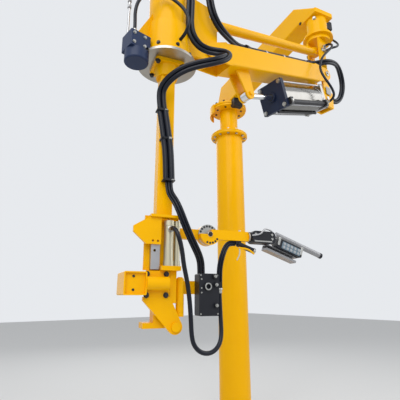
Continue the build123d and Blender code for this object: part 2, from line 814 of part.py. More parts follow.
# Mast: hub plate, a cone below it, the square tube, and a foot plate with two holes
hub_cone_top = 70.0
hub_cone_bottom = 56.0
hub_cone_height = 60.0
foot_plate_drop = 24.0
foot_plate_left = 85.0
with BuildPart() as mast_tube:
    with BuildSketch(tool_level(mast_top)):
        RectangleRounded(hub_plate_side, hub_plate_side, 20)
    extrude(amount=hub_plate_thickness)
    with BuildSketch(tool_level(mast_top)):
        Circle(hub_cone_top)
    with BuildSketch(tool_level(mast_top - hub_cone_height)):
        Circle(hub_cone_bottom)
    loft()
    with BuildSketch(tool_level(mast_bottom)):
        RectangleRounded(mast_size, mast_size, 8)
    extrude(amount=mast_top - mast_bottom)
    with BuildSketch(tool_level(mast_bottom)):
        RectangleRounded(mast_size - 2 * mast_wall, mast_size - 2 * mast_wall, 3)
    extrude(amount=mast_top - mast_bottom, mode=Mode.SUBTRACT)
    with BuildSketch(tool_level(mast_bottom)):
        with Locations(((mast_size / 2 - foot_plate_left) / 2, 0)):
            Rectangle(mast_size / 2 + foot_plate_left, mast_size)
        with Locations((-foot_plate_left + 16, 0), (-foot_plate_left + 36, 0)):
            Circle(5, mode=Mode.SUBTRACT)
    extrude(amount=-foot_plate_drop)
mast_tube.part.label = "mast_tube"
pieces.append(mast_tube)

# Tool frame: notched back plate with the cylinders' seat, right plate, lower arm, stop bar, bracket
mast_front = -mast_size / 2
back_front = mast_front - back_plate_thickness
rail_front = back_front - rail_thickness
back_left = -95.0
back_right = 55.0
back_notch_left = -78.0
back_notch_top = 1512.0
seat_x = 20.0
seat_width = 90.0
seat_height = 20.0
seat_depth = 50.0
tool_rib_x = 40.0
tool_rib_width = 30.0
tool_rib_drop = 28.0
tool_rib_depth = 16.0
stop_bar_x = 80.5
stop_bar_y = -40.0
stop_bar_radius = 18.5
stop_bar_low = 1313.0
stop_bar_high = 1485.0
stop_bar_chamfer = 8.0
stop_lug_z = 1400.0
stop_lug_height = 60.0
stop_lug_back = -20.0
stop_lug_thickness = 14.0
manifold_arm_drop = 63.0
manifold_arm_end = 222.0
manifold_arm_height = 60.0
manifold_arm_back = 4.0
manifold_arm_thickness = 12.0
lower_arm_x = -35.0
lower_arm_width = 120.0
lower_arm_foot = 16.0
lower_arm_depth = 20.0
lower_boss_x = 52.0
lower_boss_z = 1272.0
lower_boss_radius = 32.0
lower_pad_radius = 20.0
lower_pad_thickness = 14.0
tool_rib_high = clamp_cylinder_low - 6.0
tool_rib_low = back_plate_low - tool_rib_drop
with BuildPart() as tool_frame:
    with BuildSketch(tool_front(mast_front)):
        with BuildLine():
            Polyline(
                (back_notch_left, back_plate_low),
                (back_right, back_plate_low),
                (back_right, back_plate_high),
                (back_left, back_plate_high),
                (back_left, back_notch_top),
                (back_notch_left, back_notch_top),
                close=True,
            )
        make_face()
    extrude(amount=back_plate_thickness)
    with BuildSketch(tool_front(back_front)):
        with Locations((seat_x, clamp_cylinder_low - seat_height / 2)):
            Rectangle(seat_width, seat_height)
    extrude(amount=seat_depth)
    with BuildSketch(tool_front(back_front)):
        with Locations((tool_rib_x, (tool_rib_high + tool_rib_low) / 2)):
            Rectangle(tool_rib_width, tool_rib_high - tool_rib_low)
    extrude(amount=tool_rib_depth)
    with BuildSketch(tool_front(back_front)):
        with Locations((lower_arm_x, carriage_centre - carriage_side / 2 - lower_arm_foot / 2)):
            Rectangle(lower_arm_width, lower_arm_foot)
        with Locations((lower_boss_x, lower_boss_z)):
            Circle(lower_boss_radius)
        make_hull()
    extrude(amount=lower_arm_depth)
    with BuildSketch(tool_front(back_front - lower_arm_depth)):
        with Locations((lower_boss_x, lower_boss_z)):
            Circle(lower_pad_radius)
    extrude(amount=lower_pad_thickness)
    with BuildSketch(tool_level(stop_bar_low)):
        with Locations((stop_bar_x, stop_bar_y)):
            Circle(stop_bar_radius)
    extrude(amount=stop_bar_high - stop_bar_low)
    bar_top = tool_frame.faces().filter_by(lambda face: abs(face.center().Z - stop_bar_high) < 1)
    chamfer(bar_top.edges(), stop_bar_chamfer)
    with BuildSketch(tool_front(stop_lug_back)):
        with Locations(((mast_size / 2 + stop_bar_x) / 2, stop_lug_z)):
            Rectangle(stop_bar_x - mast_size / 2, stop_lug_height)
    extrude(amount=stop_lug_thickness)
    with BuildSketch(tool_front(manifold_arm_back)):
        with Locations(((mast_size / 2 + manifold_arm_end) / 2, manifold_high - manifold_arm_drop)):
            Rectangle(manifold_arm_end - mast_size / 2, manifold_arm_height)
    extrude(amount=manifold_arm_thickness)
tool_frame.part.label = "tool_frame"
pieces.append(tool_frame)

rail_x = -48.5
rail_width = 41.0
rail_hole_x = -52.0
rail_hole_drop = 42.0
rail_hole_radius = 6.0
with BuildPart() as tool_rail:
    with BuildSketch(tool_front(back_front)):
        with Locations((rail_x, (rail_low + rail_high) / 2)):
            Rectangle(rail_width, rail_high - rail_low)
        with Locations((rail_hole_x, rail_high - rail_hole_drop)):
            Circle(rail_hole_radius, mode=Mode.SUBTRACT)
    extrude(amount=rail_thickness)
tool_rail.part.label = "tool_rail"
pieces.append(tool_rail)

# Clamp cylinders with end collars, each bored for its rod
large_clamp_radius = 24.0
small_clamp_radius = 14.5
clamp_stand_off = 25.0
large_clamp = (12.5, back_front - clamp_stand_off)
small_clamp = (51.5, back_front - clamp_stand_off)
clamp_collar_height = 24.0
clamp_collar_step = 2.0
clamp_rod_fit = 0.5
port_x = large_clamp[0]
port_drop = 41.0
port_z = clamp_cylinder_high - port_drop
port_radius = 12.0
port_front = large_clamp[1] - large_clamp_radius - 8.0
with BuildPart() as clamp_cylinders:
    for (clamp_x, clamp_y), radius in ((large_clamp, large_clamp_radius), (small_clamp, small_clamp_radius)):
        with BuildSketch(tool_level(clamp_cylinder_low)):
            with Locations((clamp_x, clamp_y)):
                Circle(radius - clamp_collar_step)
        extrude(amount=clamp_cylinder_high - clamp_cylinder_low)
        for collar_at in (clamp_cylinder_low, clamp_cylinder_high - clamp_collar_height):
            with BuildSketch(tool_level(collar_at)):
                with Locations((clamp_x, clamp_y)):
                    Circle(radius)
            extrude(amount=clamp_collar_height)
    with BuildSketch(tool_front(large_clamp[1])):
        with Locations((port_x, port_z)):
            Circle(port_radius)
    extrude(amount=large_clamp[1] - port_front)
    with BuildSketch(tool_level(clamp_cylinder_low)):
        with Locations(large_clamp, small_clamp):
            Circle(clamp_rod_radius + clamp_rod_fit)
    extrude(amount=clamp_cylinder_high - clamp_cylinder_low, mode=Mode.SUBTRACT)
clamp_cylinders.part.label = "clamp_cylinders"
pieces.append(clamp_cylinders)

# Upper jaw: a pointed nose, the bridge above the cylinders and their rods
bridge_gap = 12.0
bridge_thickness = 12.0
bridge_x = -5.0
bridge_length = 148.0
bridge_depth = 40.0
bridge_stand_off = 32.0
jaw_rod_depth = 110.0
jaw_right = -28.0
jaw_shoulder = -80.0
jaw_nose = -154.0
jaw_heel = -96.0
jaw_nose_drop = 46.0
jaw_nose_height = 26.0
jaw_holes_x = (-65.0, -42.0)
jaw_hole_rise = 15.0
jaw_hole_radius = 5.0
with BuildPart() as upper_jaw:
    with BuildSketch(tool_front(rail_front - running_gap)):
        with BuildLine():
            Polyline(
                (jaw_right, jaw_high),
                (jaw_shoulder, jaw_high),
                (jaw_nose, jaw_high - jaw_nose_drop),
                (jaw_nose, jaw_high - jaw_nose_drop - jaw_nose_height),
                (jaw_heel, jaw_low),
                (jaw_right, jaw_low),
                close=True,
            )
        make_face()
        with Locations(*[(hole_x, jaw_low + jaw_hole_rise) for hole_x in jaw_holes_x]):
            Circle(jaw_hole_radius, mode=Mode.SUBTRACT)
    extrude(amount=jaw_thickness)
    with BuildSketch(tool_level(clamp_cylinder_high + bridge_gap)):
        with Locations((bridge_x, back_front - bridge_stand_off)):
            Rectangle(bridge_length, bridge_depth)
    extrude(amount=bridge_thickness)
    with BuildSketch(tool_level(clamp_cylinder_high + bridge_gap)):
        with Locations(large_clamp, small_clamp):
            Circle(clamp_rod_radius)
    extrude(amount=-jaw_rod_depth)
upper_jaw.part.label = "upper_jaw"
pieces.append(upper_jaw)

# Carriage: a square flange with a drum across it, and an open square tube with a cap beside it
side_block_right = -88.0
side_block_wall = 6.0
side_block_hole = side_block_side - 2 * side_block_wall
side_block_front = -106.0
side_block_back = 70.0
side_block_cap_depth = 12.0
side_block_cap_thickness = 8.0
carriage_x = -33.0
carriage_thickness = 22.0
plate_corner = 6.0
drum_radius = 29.0
drum_stand_off = 40.0
drum_length = 99.0
with BuildPart() as carriage_block:
    with BuildSketch(tool_front(back_front)):
        with Locations((carriage_x, carriage_centre)):
            RectangleRounded(carriage_side, carriage_side, plate_corner)
    extrude(amount=carriage_thickness)
    drum_start = tool_point(side_block_right, back_front - drum_stand_off, carriage_centre)
    with BuildSketch(Plane(origin=drum_start, x_dir=(0, 0, 1), z_dir=tool_plane.x_dir)):
        Circle(drum_radius)
    extrude(amount=drum_length)
    side_middle = (side_block_right - side_block_side / 2, carriage_centre)
    with BuildSketch(tool_front(side_block_back)):
        with Locations(side_middle):
            RectangleRounded(side_block_side, side_block_side, plate_corner)
            Rectangle(side_block_hole, side_block_hole, mode=Mode.SUBTRACT)
    extrude(amount=side_block_back - side_block_front)
    with BuildSketch(tool_front(side_block_front + side_block_cap_depth)):
        with Locations(side_middle):
            Rectangle(side_block_hole, side_block_hole)
    extrude(amount=-side_block_cap_thickness)
carriage_block.part.label = "carriage_block"
pieces.append(carriage_block)

# Manifold with its connectors and the side port of the two signal hoses
manifold_front = -68.0
manifold_depth = 60.0
manifold_x = 214.0
manifold_width = 100.0
manifold_corner = 8.0
knob_radius = 11.0
knob_length = 14.0
ring_x = 205.0
ring_drop = 59.0
ring_radius = 17.0
ring_bore = 10.0
ring_length = 12.0
side_port_x = 280.0
side_port_y = -38.0
side_port_low = manifold_high - 65.0
side_port_high = manifold_high - 37.0
side_port_inset = 6.0
side_port_width = 32.0
side_port_depth = 20.0
knob_places = ((246, manifold_high - 143), (246, manifold_high - 51), (240, manifold_high - 13))
with BuildPart() as manifold:
    with BuildSketch(tool_front(manifold_front + manifold_depth)):
        with Locations((manifold_x, (manifold_low + manifold_high) / 2)):
            RectangleRounded(manifold_width, manifold_height, manifold_corner)
    extrude(amount=manifold_depth)
    with BuildSketch(tool_front(manifold_front)):
        with Locations(*knob_places):
            Circle(knob_radius)
    extrude(amount=knob_length)
    with BuildSketch(tool_level(side_port_low)):
        with Locations((side_port_x - side_port_inset, side_port_y)):
            Rectangle(side_port_width, side_port_depth)
    extrude(amount=side_port_high - side_port_low)
    with BuildSketch(tool_front(manifold_front)):
        with Locations((ring_x, manifold_high - ring_drop)):
            Circle(ring_radius)
            Circle(ring_bore, mode=Mode.SUBTRACT)
    extrude(amount=ring_length)
manifold.part.label = "manifold"
pieces.append(manifold)

# Handle stub on the mast, with the lug of the index disc
stub_back = 20.0
stub_thickness = 30.0
stub_height = 50.0
with BuildPart() as handle_stub:
    with BuildSketch(tool_front(stub_back)):
        with Locations(((mast_size / 2 + handle_hinge_out) / 2, handle_height)):
            Rectangle(handle_hinge_out - mast_size / 2, stub_height)
        with Locations((handle_hinge_out, handle_height)):
            Circle(handle_disc_radius)
            Circle(handle_pin_radius, mode=Mode.SUBTRACT)
    extrude(amount=stub_thickness)
handle_stub.part.label = "handle_stub"
pieces.append(handle_stub)

# Index disc with a row of holes round its upper half
index_disc_back = stub_back - stub_thickness - running_gap
index_disc_thickness = 8.0
index_hole_count = 9
index_hole_radius = 3.5
index_hole_inset = 9.0
with BuildPart() as index_disc:
    with BuildSketch(tool_front(index_disc_back)):
        with Locations((handle_hinge_out, handle_height)):
            Circle(handle_disc_radius)
            with PolarLocations(
                handle_disc_radius - index_hole_inset, index_hole_count, start_angle=20, angular_range=180
            ):
                Circle(index_hole_radius, mode=Mode.SUBTRACT)
    extrude(amount=index_disc_thickness)
    with BuildSketch(tool_front(stub_back)):
        with Locations((handle_hinge_out, handle_height)):
            Circle(handle_pin_radius - pin_fit)
    extrude(amount=stub_back - index_disc_back + index_disc_thickness)
index_disc.part.label = "index_disc"
pieces.append(index_disc)

# Handlebar: a half round cheek before the index disc, the bar and its collar
cheek_back = index_disc_back - index_disc_thickness
bar_start = 240.0
bar_end = 444.0
bar_height = 48.0
bar_thickness = 26.0
collar_length = 14.0
collar_radius = 26.0
bar_middle_y = cheek_back - bar_thickness / 2
with BuildPart() as handlebar:
    with BuildSketch(tool_front(cheek_back)):
        with Locations((handle_hinge_out, handle_height)):
            Circle(handle_disc_radius)
        with Locations((handle_hinge_out, handle_height + handle_disc_radius)):
            Rectangle(2 * handle_disc_radius, 2 * handle_disc_radius, mode=Mode.SUBTRACT)
        with Locations(((bar_start + bar_end) / 2, handle_height)):
            Rectangle(bar_end - bar_start, bar_height)
    extrude(amount=bar_thickness)
    with BuildSketch(Plane(origin=tool_point(bar_end, bar_middle_y, handle_height), z_dir=tool_plane.x_dir)):
        Circle(collar_radius)
    extrude(amount=collar_length)
handlebar.part.label = "handlebar"
pieces.append(handlebar)

# Knuckle, a rounded housing that carries the channel
knuckle_start = bar_end + collar_length
knuckle_length = 136.0
knuckle_size = 62.0
knuckle_corner = 20.0
knuckle_place = (knuckle_start + knuckle_length / 2, handle_height)
with BuildPart() as handle_knuckle:
    with BuildSketch(tool_front(0)):
        with Locations(knuckle_place):
            RectangleRounded(knuckle_length, knuckle_size, knuckle_corner)
    extrude(amount=knuckle_size)
handle_knuckle.part.label = "handle_knuckle"
pieces.append(handle_knuckle)

# Drooping channel from the knuckle, its mouth up
handle_droop = 19.5
channel_place = Location((650, handle_height - 76), -handle_droop)
channel_back = 20.0
channel_length = 190.0
channel_height = 30.0
channel_width = 50.0
channel_groove = 14.0
channel_groove_rise = 4.0
channel_strip_height = 22.0
channel_strip_depth = 6.0
with BuildPart() as handle_arm:
    with BuildSketch(tool_front(channel_back)):
        with Locations(channel_place):
            Rectangle(channel_length, channel_height)
            with Locations((0, channel_groove_rise)):
                Rectangle(channel_length, channel_groove, mode=Mode.SUBTRACT)
    extrude(amount=channel_width)
    with BuildSketch(tool_front(channel_back)):
        with Locations(channel_place):
            Rectangle(channel_length, channel_strip_height)
    extrude(amount=channel_strip_depth)
    with BuildSketch(tool_front(0)):
        with Locations(knuckle_place):
            RectangleRounded(knuckle_length, knuckle_size, knuckle_corner)
    extrude(amount=knuckle_size, mode=Mode.SUBTRACT)
handle_arm.part.label = "handle_arm"
pieces.append(handle_arm)

# Control panel on the channel
panel_place = Location((690, handle_height - 46), -handle_droop)
panel_length = 160.0
panel_height = 52.0
panel_corner = 8.0
panel_depth = 50.0
with BuildPart() as control_panel:
    with BuildSketch(tool_front(0)):
        with Locations(panel_place):
            RectangleRounded(panel_length, panel_height, panel_corner)
    extrude(amount=panel_depth)
control_panel.part.label = "control_panel"
pieces.append(control_panel)

# Grip tube behind the panel, on two brackets
grip_y = 4.0
grip_start = tool_point(640, grip_y, handle_height + 30)
grip_end = tool_point(933, grip_y, handle_height - 74)
grip_radius = 15.0
grip_bracket_back = 16.0
grip_bracket_thickness = 16.0
grip_bracket_out = 72.0
grip_bracket_rise = 24.0
grip_bracket_width = 16.0
grip_bracket_height = 60.0
with BuildPart() as handle_grips:
    with BuildSketch(Plane(origin=grip_start, z_dir=grip_end - grip_start)):
        Circle(grip_radius)
    extrude(amount=(grip_end - grip_start).length)
    with BuildSketch(tool_front(grip_bracket_back)):
        with Locations(panel_place):
            with Locations((-grip_bracket_out, grip_bracket_rise), (grip_bracket_out, grip_bracket_rise)):
                Rectangle(grip_bracket_width, grip_bracket_height)
    extrude(amount=grip_bracket_thickness)
handle_grips.part.label = "handle_grips"
pieces.append(handle_grips)

# Hand lever below the bar: a clamp and a round grip under it
lever_clamp_x = 388.0
lever_clamp_width = 30.0
lever_clamp_height = 18.0
lever_clamp_thickness = 20.0
lever_clamp_z = handle_height - bar_height / 2 - lever_clamp_height / 2
lever_radius = 14.0
lever_start = tool_point(385, bar_middle_y, handle_height - 38)
lever_end = tool_point(482, bar_middle_y, handle_height - 72)
with BuildPart() as hand_lever:
    with BuildSketch(tool_front(bar_middle_y + lever_clamp_thickness / 2)):
        with Locations((lever_clamp_x, lever_clamp_z)):
            Rectangle(lever_clamp_width, lever_clamp_height)
    extrude(amount=lever_clamp_thickness)
    with BuildSketch(Plane(origin=lever_start, z_dir=lever_end - lever_start)):
        Circle(lever_radius)
    extrude(amount=(lever_end - lever_start).length)
hand_lever.part.label = "hand_lever"
pieces.append(hand_lever)

# Conduit along the boom's top, in three saddles
conduit_lift = boom_size / 2 + conduit_diameter / 2 + running_gap
conduit_beside = -35.0
conduit_from = 165.0
conduit_short = 362.0
conduit_to = boom_length - conduit_short
saddle_width = 24.0
saddle_inset = 60.0
saddle_edge = 4.0
with BuildPart() as boom_conduit:
    with BuildSketch(Plane(origin=boom_point(conduit_from, conduit_lift, conduit_beside), z_dir=boom_dir)):
        Circle(conduit_diameter / 2)
    extrude(amount=conduit_to - conduit_from)
    for saddle_at in (conduit_from + saddle_inset, (conduit_from + conduit_to) / 2, conduit_to - saddle_inset):
        saddle_section = Plane(origin=boom_point(saddle_at, 0, conduit_beside), x_dir=(0, 1, 0), z_dir=-boom_dir)
        with BuildSketch(saddle_section):
            with Locations((0, boom_size / 2 + conduit_diameter / 4)):
                Rectangle(conduit_diameter + 2 * saddle_edge, conduit_diameter / 2)
        extrude(amount=saddle_width / 2, both=True)
boom_conduit.part.label = "boom_conduit"
pieces.append(boom_conduit)

# Conduit down the mast's front face
mast_conduit_y = mast_front - mast_conduit_diameter / 2 - running_gap
mast_conduit_points = (
    tool_point(-34, mast_conduit_y, 2300),
    tool_point(-10, mast_conduit_y, 2160),
    tool_point(3, mast_conduit_y, 2060),
    tool_point(8, mast_conduit_y, 1930),
)
hose("mast_conduit", mast_conduit_points, mast_conduit_diameter)

# Loop from the boom's conduit round the back of the yoke to the gland in its web
gland_z = 2977.0
yoke_back = pin_x + yoke_box_back
hose(
    "yoke_hose",
    (
        boom_point(conduit_from, conduit_lift, conduit_beside),
        boom_point(conduit_from - 55, conduit_lift, conduit_beside),
        (-455, -1612, 3236),
        (-395, -1642, 3256),
        (-325, -1645, 3279),
        (-245, -1632, 3300),
        (-172, -1612, 3290),
        (-120, -1596, 3240),
        (-100, -1585, 3168),
        (-114, -1577, 3095),
        (-150, -1572, 3034),
        (-200, -1570, 2992),
        (-255, -1570, gland_z),
        (yoke_back, -1570, gland_z),
    ),
    conduit_diameter,
)

# Conduit from the boom up before the head, over a loop above it and down to the mast
rise_end = (-1657, -1657, 3230)
hose(
    "head_hose_up",
    (
        boom_point(conduit_to, conduit_lift, conduit_beside),
        boom_point(conduit_to + 60, conduit_lift, conduit_beside),
        (-1410, -1600, 2954),
        (-1490, -1632, 2938),
        (-1565, -1650, 2946),
        (-1620, -1656, 2995),
        (-1646, -1657, 3070),
        (-1657, -1657, 3150),
        rise_end,
    ),
    conduit_diameter,
)
hose(
    "head_hose_down",
    (
        rise_end,
        (-1657, -1657, 3336),
        (-1713, -1665, 3392),
        (-1791, -1675, 3392),
        (-1847, -1682, 3336),
        (-1842, -1681, 3230),
        (-1812, -1675, 3130),
        (-1799, -1671, 3020),
        (-1801, -1669, 2915),
        (-1803, -1667, 2830),
        (-1787, -1669, 2765),
        (-1745, -1678, 2716),
        (-1695, -1696, 2700),
        (-1655, -1722, 2694),
        (-1635, -1762, 2672),
        (-1643, -1800, 2632),
        (-1675, -1820, 2588),
        (-1722, -1820, 2552),
        (-1775, -1800, 2527),
        (-1831, -1764, 2508),
        (-1876, -1722, 2488),
        (-1908, -1674, 2464),
        (-1927, -1622, 2432),
        tool_point(-48.4, mast_conduit_y, 2384),
        tool_point(-34, mast_conduit_y, 2300),
    ),
    conduit_diameter,
)

# Feed hoses of the elbow caliper, the lift cylinder and the head caliper
near_cheek = elbow_y - yoke_outer
hose(
    "elbow_hose",
    (
        (-217, -1571, elbow_caliper_low),
        (-217, -1571, 3645),
        (-213, -1605, 3585),
        (-224, -1646, 3525),
        (-252, -1674, 3470),
        (-291, -1685, 3428),
        (-326, -1684, 3404),
        (-352, -1668, 3393),
        (-364, -1636, 3390),
        (-364, near_cheek, 3390),
    ),
    feed_hose_diameter,
)
side_fitting = cylinder_station(barrel_start + end_plate_thickness + side_fitting_length / 2)
fitting_face = side_fitting.from_local_coords(Vector(side_tube_across - side_fitting_half, side_tube_below, 0))
hose(
    "cylinder_hose",
    (
        (-366, near_cheek, 3440),
        (-366, -1636, 3440),
        (-366, -1668, 3424),
        (-376, -1688, 3394),
        (-408, -1692, 3348),
        (-460, -1684, 3292),
        (-520, -1676, 3224),
        (-562, -1674, 3150),
        (-584, -1682, 3070),
        (-576, -1704, 2996),
        (-548, -1722, 2942),
        (-522, -1730, 2898),
        fitting_face + Vector(0, -63, 37),
        fitting_face + Vector(0, -50, 13.5),
        fitting_face + Vector(0, -26.5, 0),
        fitting_face,
    ),
    feed_hose_diameter,
)
caliper_port = caliper_plane.from_local_coords(Vector(head_caliper_reach - 30, 25, caliper_top))
skirt_taper = (skirt_od / 2 - head_od / 2 - skirt_shoulder) / (skirt_height - skirt_lip)
skirt_entry_z = 2701.0
skirt_at_hose = skirt_od / 2 - skirt_taper * (skirt_entry_z - head_bottom - skirt_lip)
hose(
    "head_caliper_hose",
    (
        caliper_port,
        caliper_port + Vector(0, 0, 60),
        (-2090, -1584, 2822),
        (-2078, -1594, 2892),
        (-2042, -1612, 2940),
        (-1988, -1637, 2960),
        (-1932, -1662, 2945),
        (-1893, -1692, 2902),
        (-1873, -1722, 2848),
        (-1865, -1741, 2796),
        (-1863, -1746, 2754),
        (-1864, -1730, 2721),
        (mast_x, -1702, 2703),
        (mast_x, mast_y - skirt_at_hose, skirt_entry_z),
    ),
    feed_hose_diameter,
)

# Tool hoses, in the tool's frame
hose(
    "manifold_hose",
    (
        tool_point(8, mast_conduit_y, 1930),
        tool_point(9.54, mast_conduit_y, 1890),
        tool_point(15, -90, 1856),
        tool_point(27, -118, 1822),
        tool_point(45, -133, 1773),
        tool_point(69, -134, 1714),
        tool_point(99, -122, 1660),
        tool_point(130, -100, 1620),
        tool_point(157, -74, 1590),
        tool_point(176, -52, 1564),
        tool_point(184, -41, 1534),
        tool_point(184, -41, manifold_high),
    ),
    tool_hose_diameter,
)
hose(
    "tool_loop_hose",
    (
        tool_point(port_x, port_front, port_z),
        tool_point(port_x, port_front - 27, port_z),
        tool_point(16, -158, 1683),
        tool_point(23, -173, 1661),
        tool_point(33, -176, 1630),
        tool_point(46, -168, 1586),
        tool_point(60, -150, 1530),
        tool_point(82, -130, 1470),
        tool_point(100, -114, 1395),
        tool_point(111, -104, 1310),
        tool_point(116, -100, 1240),
        tool_point(127, -97, 1199),
        tool_point(157, -92, 1169),
        tool_point(198, -84, 1158),
        tool_point(239, -74, 1169),
        tool_point(269, -62, 1199),
        tool_point(280, -52, 1240),
        tool_point(281, -44, 1300),
        tool_point(281, -39, 1360),
        tool_point(side_port_x, side_port_y, 1400),
        tool_point(side_port_x, side_port_y, side_port_low),
    ),
    signal_hose_diameter,
)
hose(
    "handle_hose",
    (
        tool_point(side_port_x, side_port_y, side_port_high),
        tool_point(side_port_x, side_port_y, 1515),
        tool_point(285, -46, 1565),
        tool_point(298, -50, 1608),
        tool_point(317, -42, 1639),
        tool_point(342, -31, 1658),
        tool_point(lever_clamp_x - lever_clamp_width / 2, -31, 1658),
    ),
    signal_hose_diameter,
)

for piece in pieces:
    export_step(piece.part, f"parts/{piece.part.label}.step")
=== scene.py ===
"""Looks of a material handling manipulator: finishes, hoses, fasteners, handle parts, light and camera."""

import json
import logging
import math
from collections.abc import Iterable
from dataclasses import dataclass
from enum import Enum
from itertools import product

import bmesh
import bpy
from bpy.types import ID, Material, Mesh, Node, NodeOutputs, NodeSocket, NodeTree, Object
from mathutils import Matrix, Vector

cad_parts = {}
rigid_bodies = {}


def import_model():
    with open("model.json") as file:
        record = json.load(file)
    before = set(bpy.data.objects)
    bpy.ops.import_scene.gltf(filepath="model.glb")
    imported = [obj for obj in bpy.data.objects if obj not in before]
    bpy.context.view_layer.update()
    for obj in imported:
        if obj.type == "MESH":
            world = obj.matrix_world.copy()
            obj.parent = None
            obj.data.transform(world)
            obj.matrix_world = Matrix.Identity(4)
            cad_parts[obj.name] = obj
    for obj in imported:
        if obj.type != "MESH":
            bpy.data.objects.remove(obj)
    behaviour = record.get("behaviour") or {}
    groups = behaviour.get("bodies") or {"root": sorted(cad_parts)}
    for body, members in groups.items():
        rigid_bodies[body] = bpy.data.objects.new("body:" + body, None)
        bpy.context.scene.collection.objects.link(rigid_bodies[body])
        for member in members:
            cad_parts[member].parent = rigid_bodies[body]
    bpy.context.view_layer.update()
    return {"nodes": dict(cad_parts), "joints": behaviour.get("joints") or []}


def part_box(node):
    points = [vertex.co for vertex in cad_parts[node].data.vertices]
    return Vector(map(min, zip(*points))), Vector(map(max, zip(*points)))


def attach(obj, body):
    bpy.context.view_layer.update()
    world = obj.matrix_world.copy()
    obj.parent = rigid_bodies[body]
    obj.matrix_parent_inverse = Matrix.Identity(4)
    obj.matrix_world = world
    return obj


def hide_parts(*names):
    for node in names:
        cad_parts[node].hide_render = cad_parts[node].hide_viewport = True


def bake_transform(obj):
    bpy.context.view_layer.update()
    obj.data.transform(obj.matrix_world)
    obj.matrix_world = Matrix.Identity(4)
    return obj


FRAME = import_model()
LOG = logging.getLogger("manipulator")

Pair = tuple[float, float]
Triple = tuple[float, float, float]

MM = 0.001
# Metres under which two vertices are one, steps from point to point of a line, and flats round a tube or a washer
SAME_PLACE = 1e-6
CURVE_STEPS = 16
ROUND = 20
JOINTS = {joint["name"]: joint for joint in FRAME["joints"]}
MAST_AXIS, BOOM_PIN, ELBOW = (Vector(JOINTS[name]["pos_m"]) for name in ("mast_swivel", "boom_lift", "elbow_swivel"))

# Directions of the floor, of the tool, of the boom and of the head's caliper, and the mast's axis on the floor
UP = Vector((0, 0, 1))
DOWN = Vector((0, 0, -1))
RIGHT = Vector((1, 0, 0))
FRONT = Vector((0, -1, 0))
BACK = Vector((0, 1, 0))
TOOL_TURN = Matrix.Rotation(math.radians(-15.7), 3, "Z")
TOOL_RIGHT = TOOL_TURN @ RIGHT
TOOL_FRONT = TOOL_TURN @ FRONT
BOOM_SLOPE = math.radians(16.5)
BOOM_AHEAD = Vector((-math.cos(BOOM_SLOPE), 0, -math.sin(BOOM_SLOPE)))
BOOM_UP = Vector((-math.sin(BOOM_SLOPE), 0, math.cos(BOOM_SLOPE)))
CALIPER_TURN = Matrix.Rotation(math.radians(183), 3, "Z")
MAST_FOOT = MAST_AXIS.xy.to_3d()

# Places of the conduits on the boom and on the mast, in millimetres: half the carrier, half the conduit and a gap
CONDUIT_LIFT = 75.0 + 17.0 + 0.3
CONDUIT_SIDE = -35.0
MAST_CONDUIT_Y = -38.1 - 28.5 - 0.3


def tool_point(x: float, y: float, z: float) -> Vector:
    """Turn a point of the tool's frame, in millimetres, with z from the floor, into a place in metres."""
    offset = TOOL_TURN @ Vector((x, y, 0)) * MM
    return MAST_FOOT + offset + Vector((0, 0, z * MM))


def on_tool(*points: Triple) -> list[Vector]:
    """Turn several points of the tool's frame into places in metres."""
    return [tool_point(*point) for point in points]


def boom_point(along: float, above: float = CONDUIT_LIFT, beside: float = CONDUIT_SIDE) -> Vector:
    """Turn millimetres along, over and beside the boom, from its pin, into a place in metres."""
    return BOOM_PIN + (BOOM_AHEAD * along + BOOM_UP * above + Vector((0, beside, 0))) * MM


def caliper_point(reach: float, side: float, level: float) -> Vector:
    """Turn metres out from the mast's axis towards the caliper, beside it and over the floor into a place."""
    return Vector((MAST_AXIS.x, MAST_AXIS.y, level)) + CALIPER_TURN @ Vector((reach, side, 0))


def places(*points: Triple) -> list[Vector]:
    """Turn points in millimetres into places in metres."""
    return [Vector([value * MM for value in point]) for point in points]


def compass(angle: float) -> Vector:
    """Give the level direction at an angle in degrees from +X."""
    return Vector((math.cos(math.radians(angle)), math.sin(math.radians(angle)), 0))


# Places where hoses end on a body
ELBOW_PORT, YOKE_ELBOW_PORT, YOKE_CYLINDER_PORT, CYLINDER_PORT = places(
    (-217, -1571, 3690), (-364, -1603.5, 3390), (-366, -1603.5, 3440), (-510.6, -1667.9, 2826)
)
CALIPER_PORT = caliper_point(0.220, 0.025, 2.690)


def show(name: str, data: ID) -> Object:
    """Put a mesh, line, lamp or camera into the scene.

    Args:
        name: the object's name.
        data: what it shows.

    Returns:
        The new object.
    """
    thing = bpy.data.objects.new(name, data)
    bpy.context.scene.collection.objects.link(thing)
    return thing


def evaluated(raw: Object) -> Mesh:
    """Make a plain mesh of an object as its modifiers leave it."""
    graph = bpy.context.evaluated_depsgraph_get()
    return bpy.data.meshes.new_from_object(raw.evaluated_get(graph), depsgraph=graph)


def outward(mesh: Mesh) -> None:
    """Merge a closed mesh's doubles and point its faces outwards.

    Args:
        mesh: the mesh.
    """
    work = bmesh.new()
    work.from_mesh(mesh)
    bmesh.ops.remove_doubles(work, verts=work.verts, dist=SAME_PLACE)
    bmesh.ops.recalc_face_normals(work, faces=work.faces)
    work.to_mesh(mesh)
    work.free()


def trace(name: str, route: list[Vector]) -> Object:
    """Make a line as one open spline.

    Args:
        name: the name of the piece that follows it.
        route: its control points in metres.

    Returns:
        The line.
    """
    data = bpy.data.curves.new(f"{name}_line", "CURVE")
    data.dimensions = "3D"
    data.resolution_u = CURVE_STEPS
    spline = data.splines.new("NURBS")
    spline.points.add(len(route) - 1)
    for point, place in zip(spline.points, route):
        point.co = (*place, 1.0)
    spline.order_u = 3
    spline.use_endpoint_u = True
    return show(data.name, data)


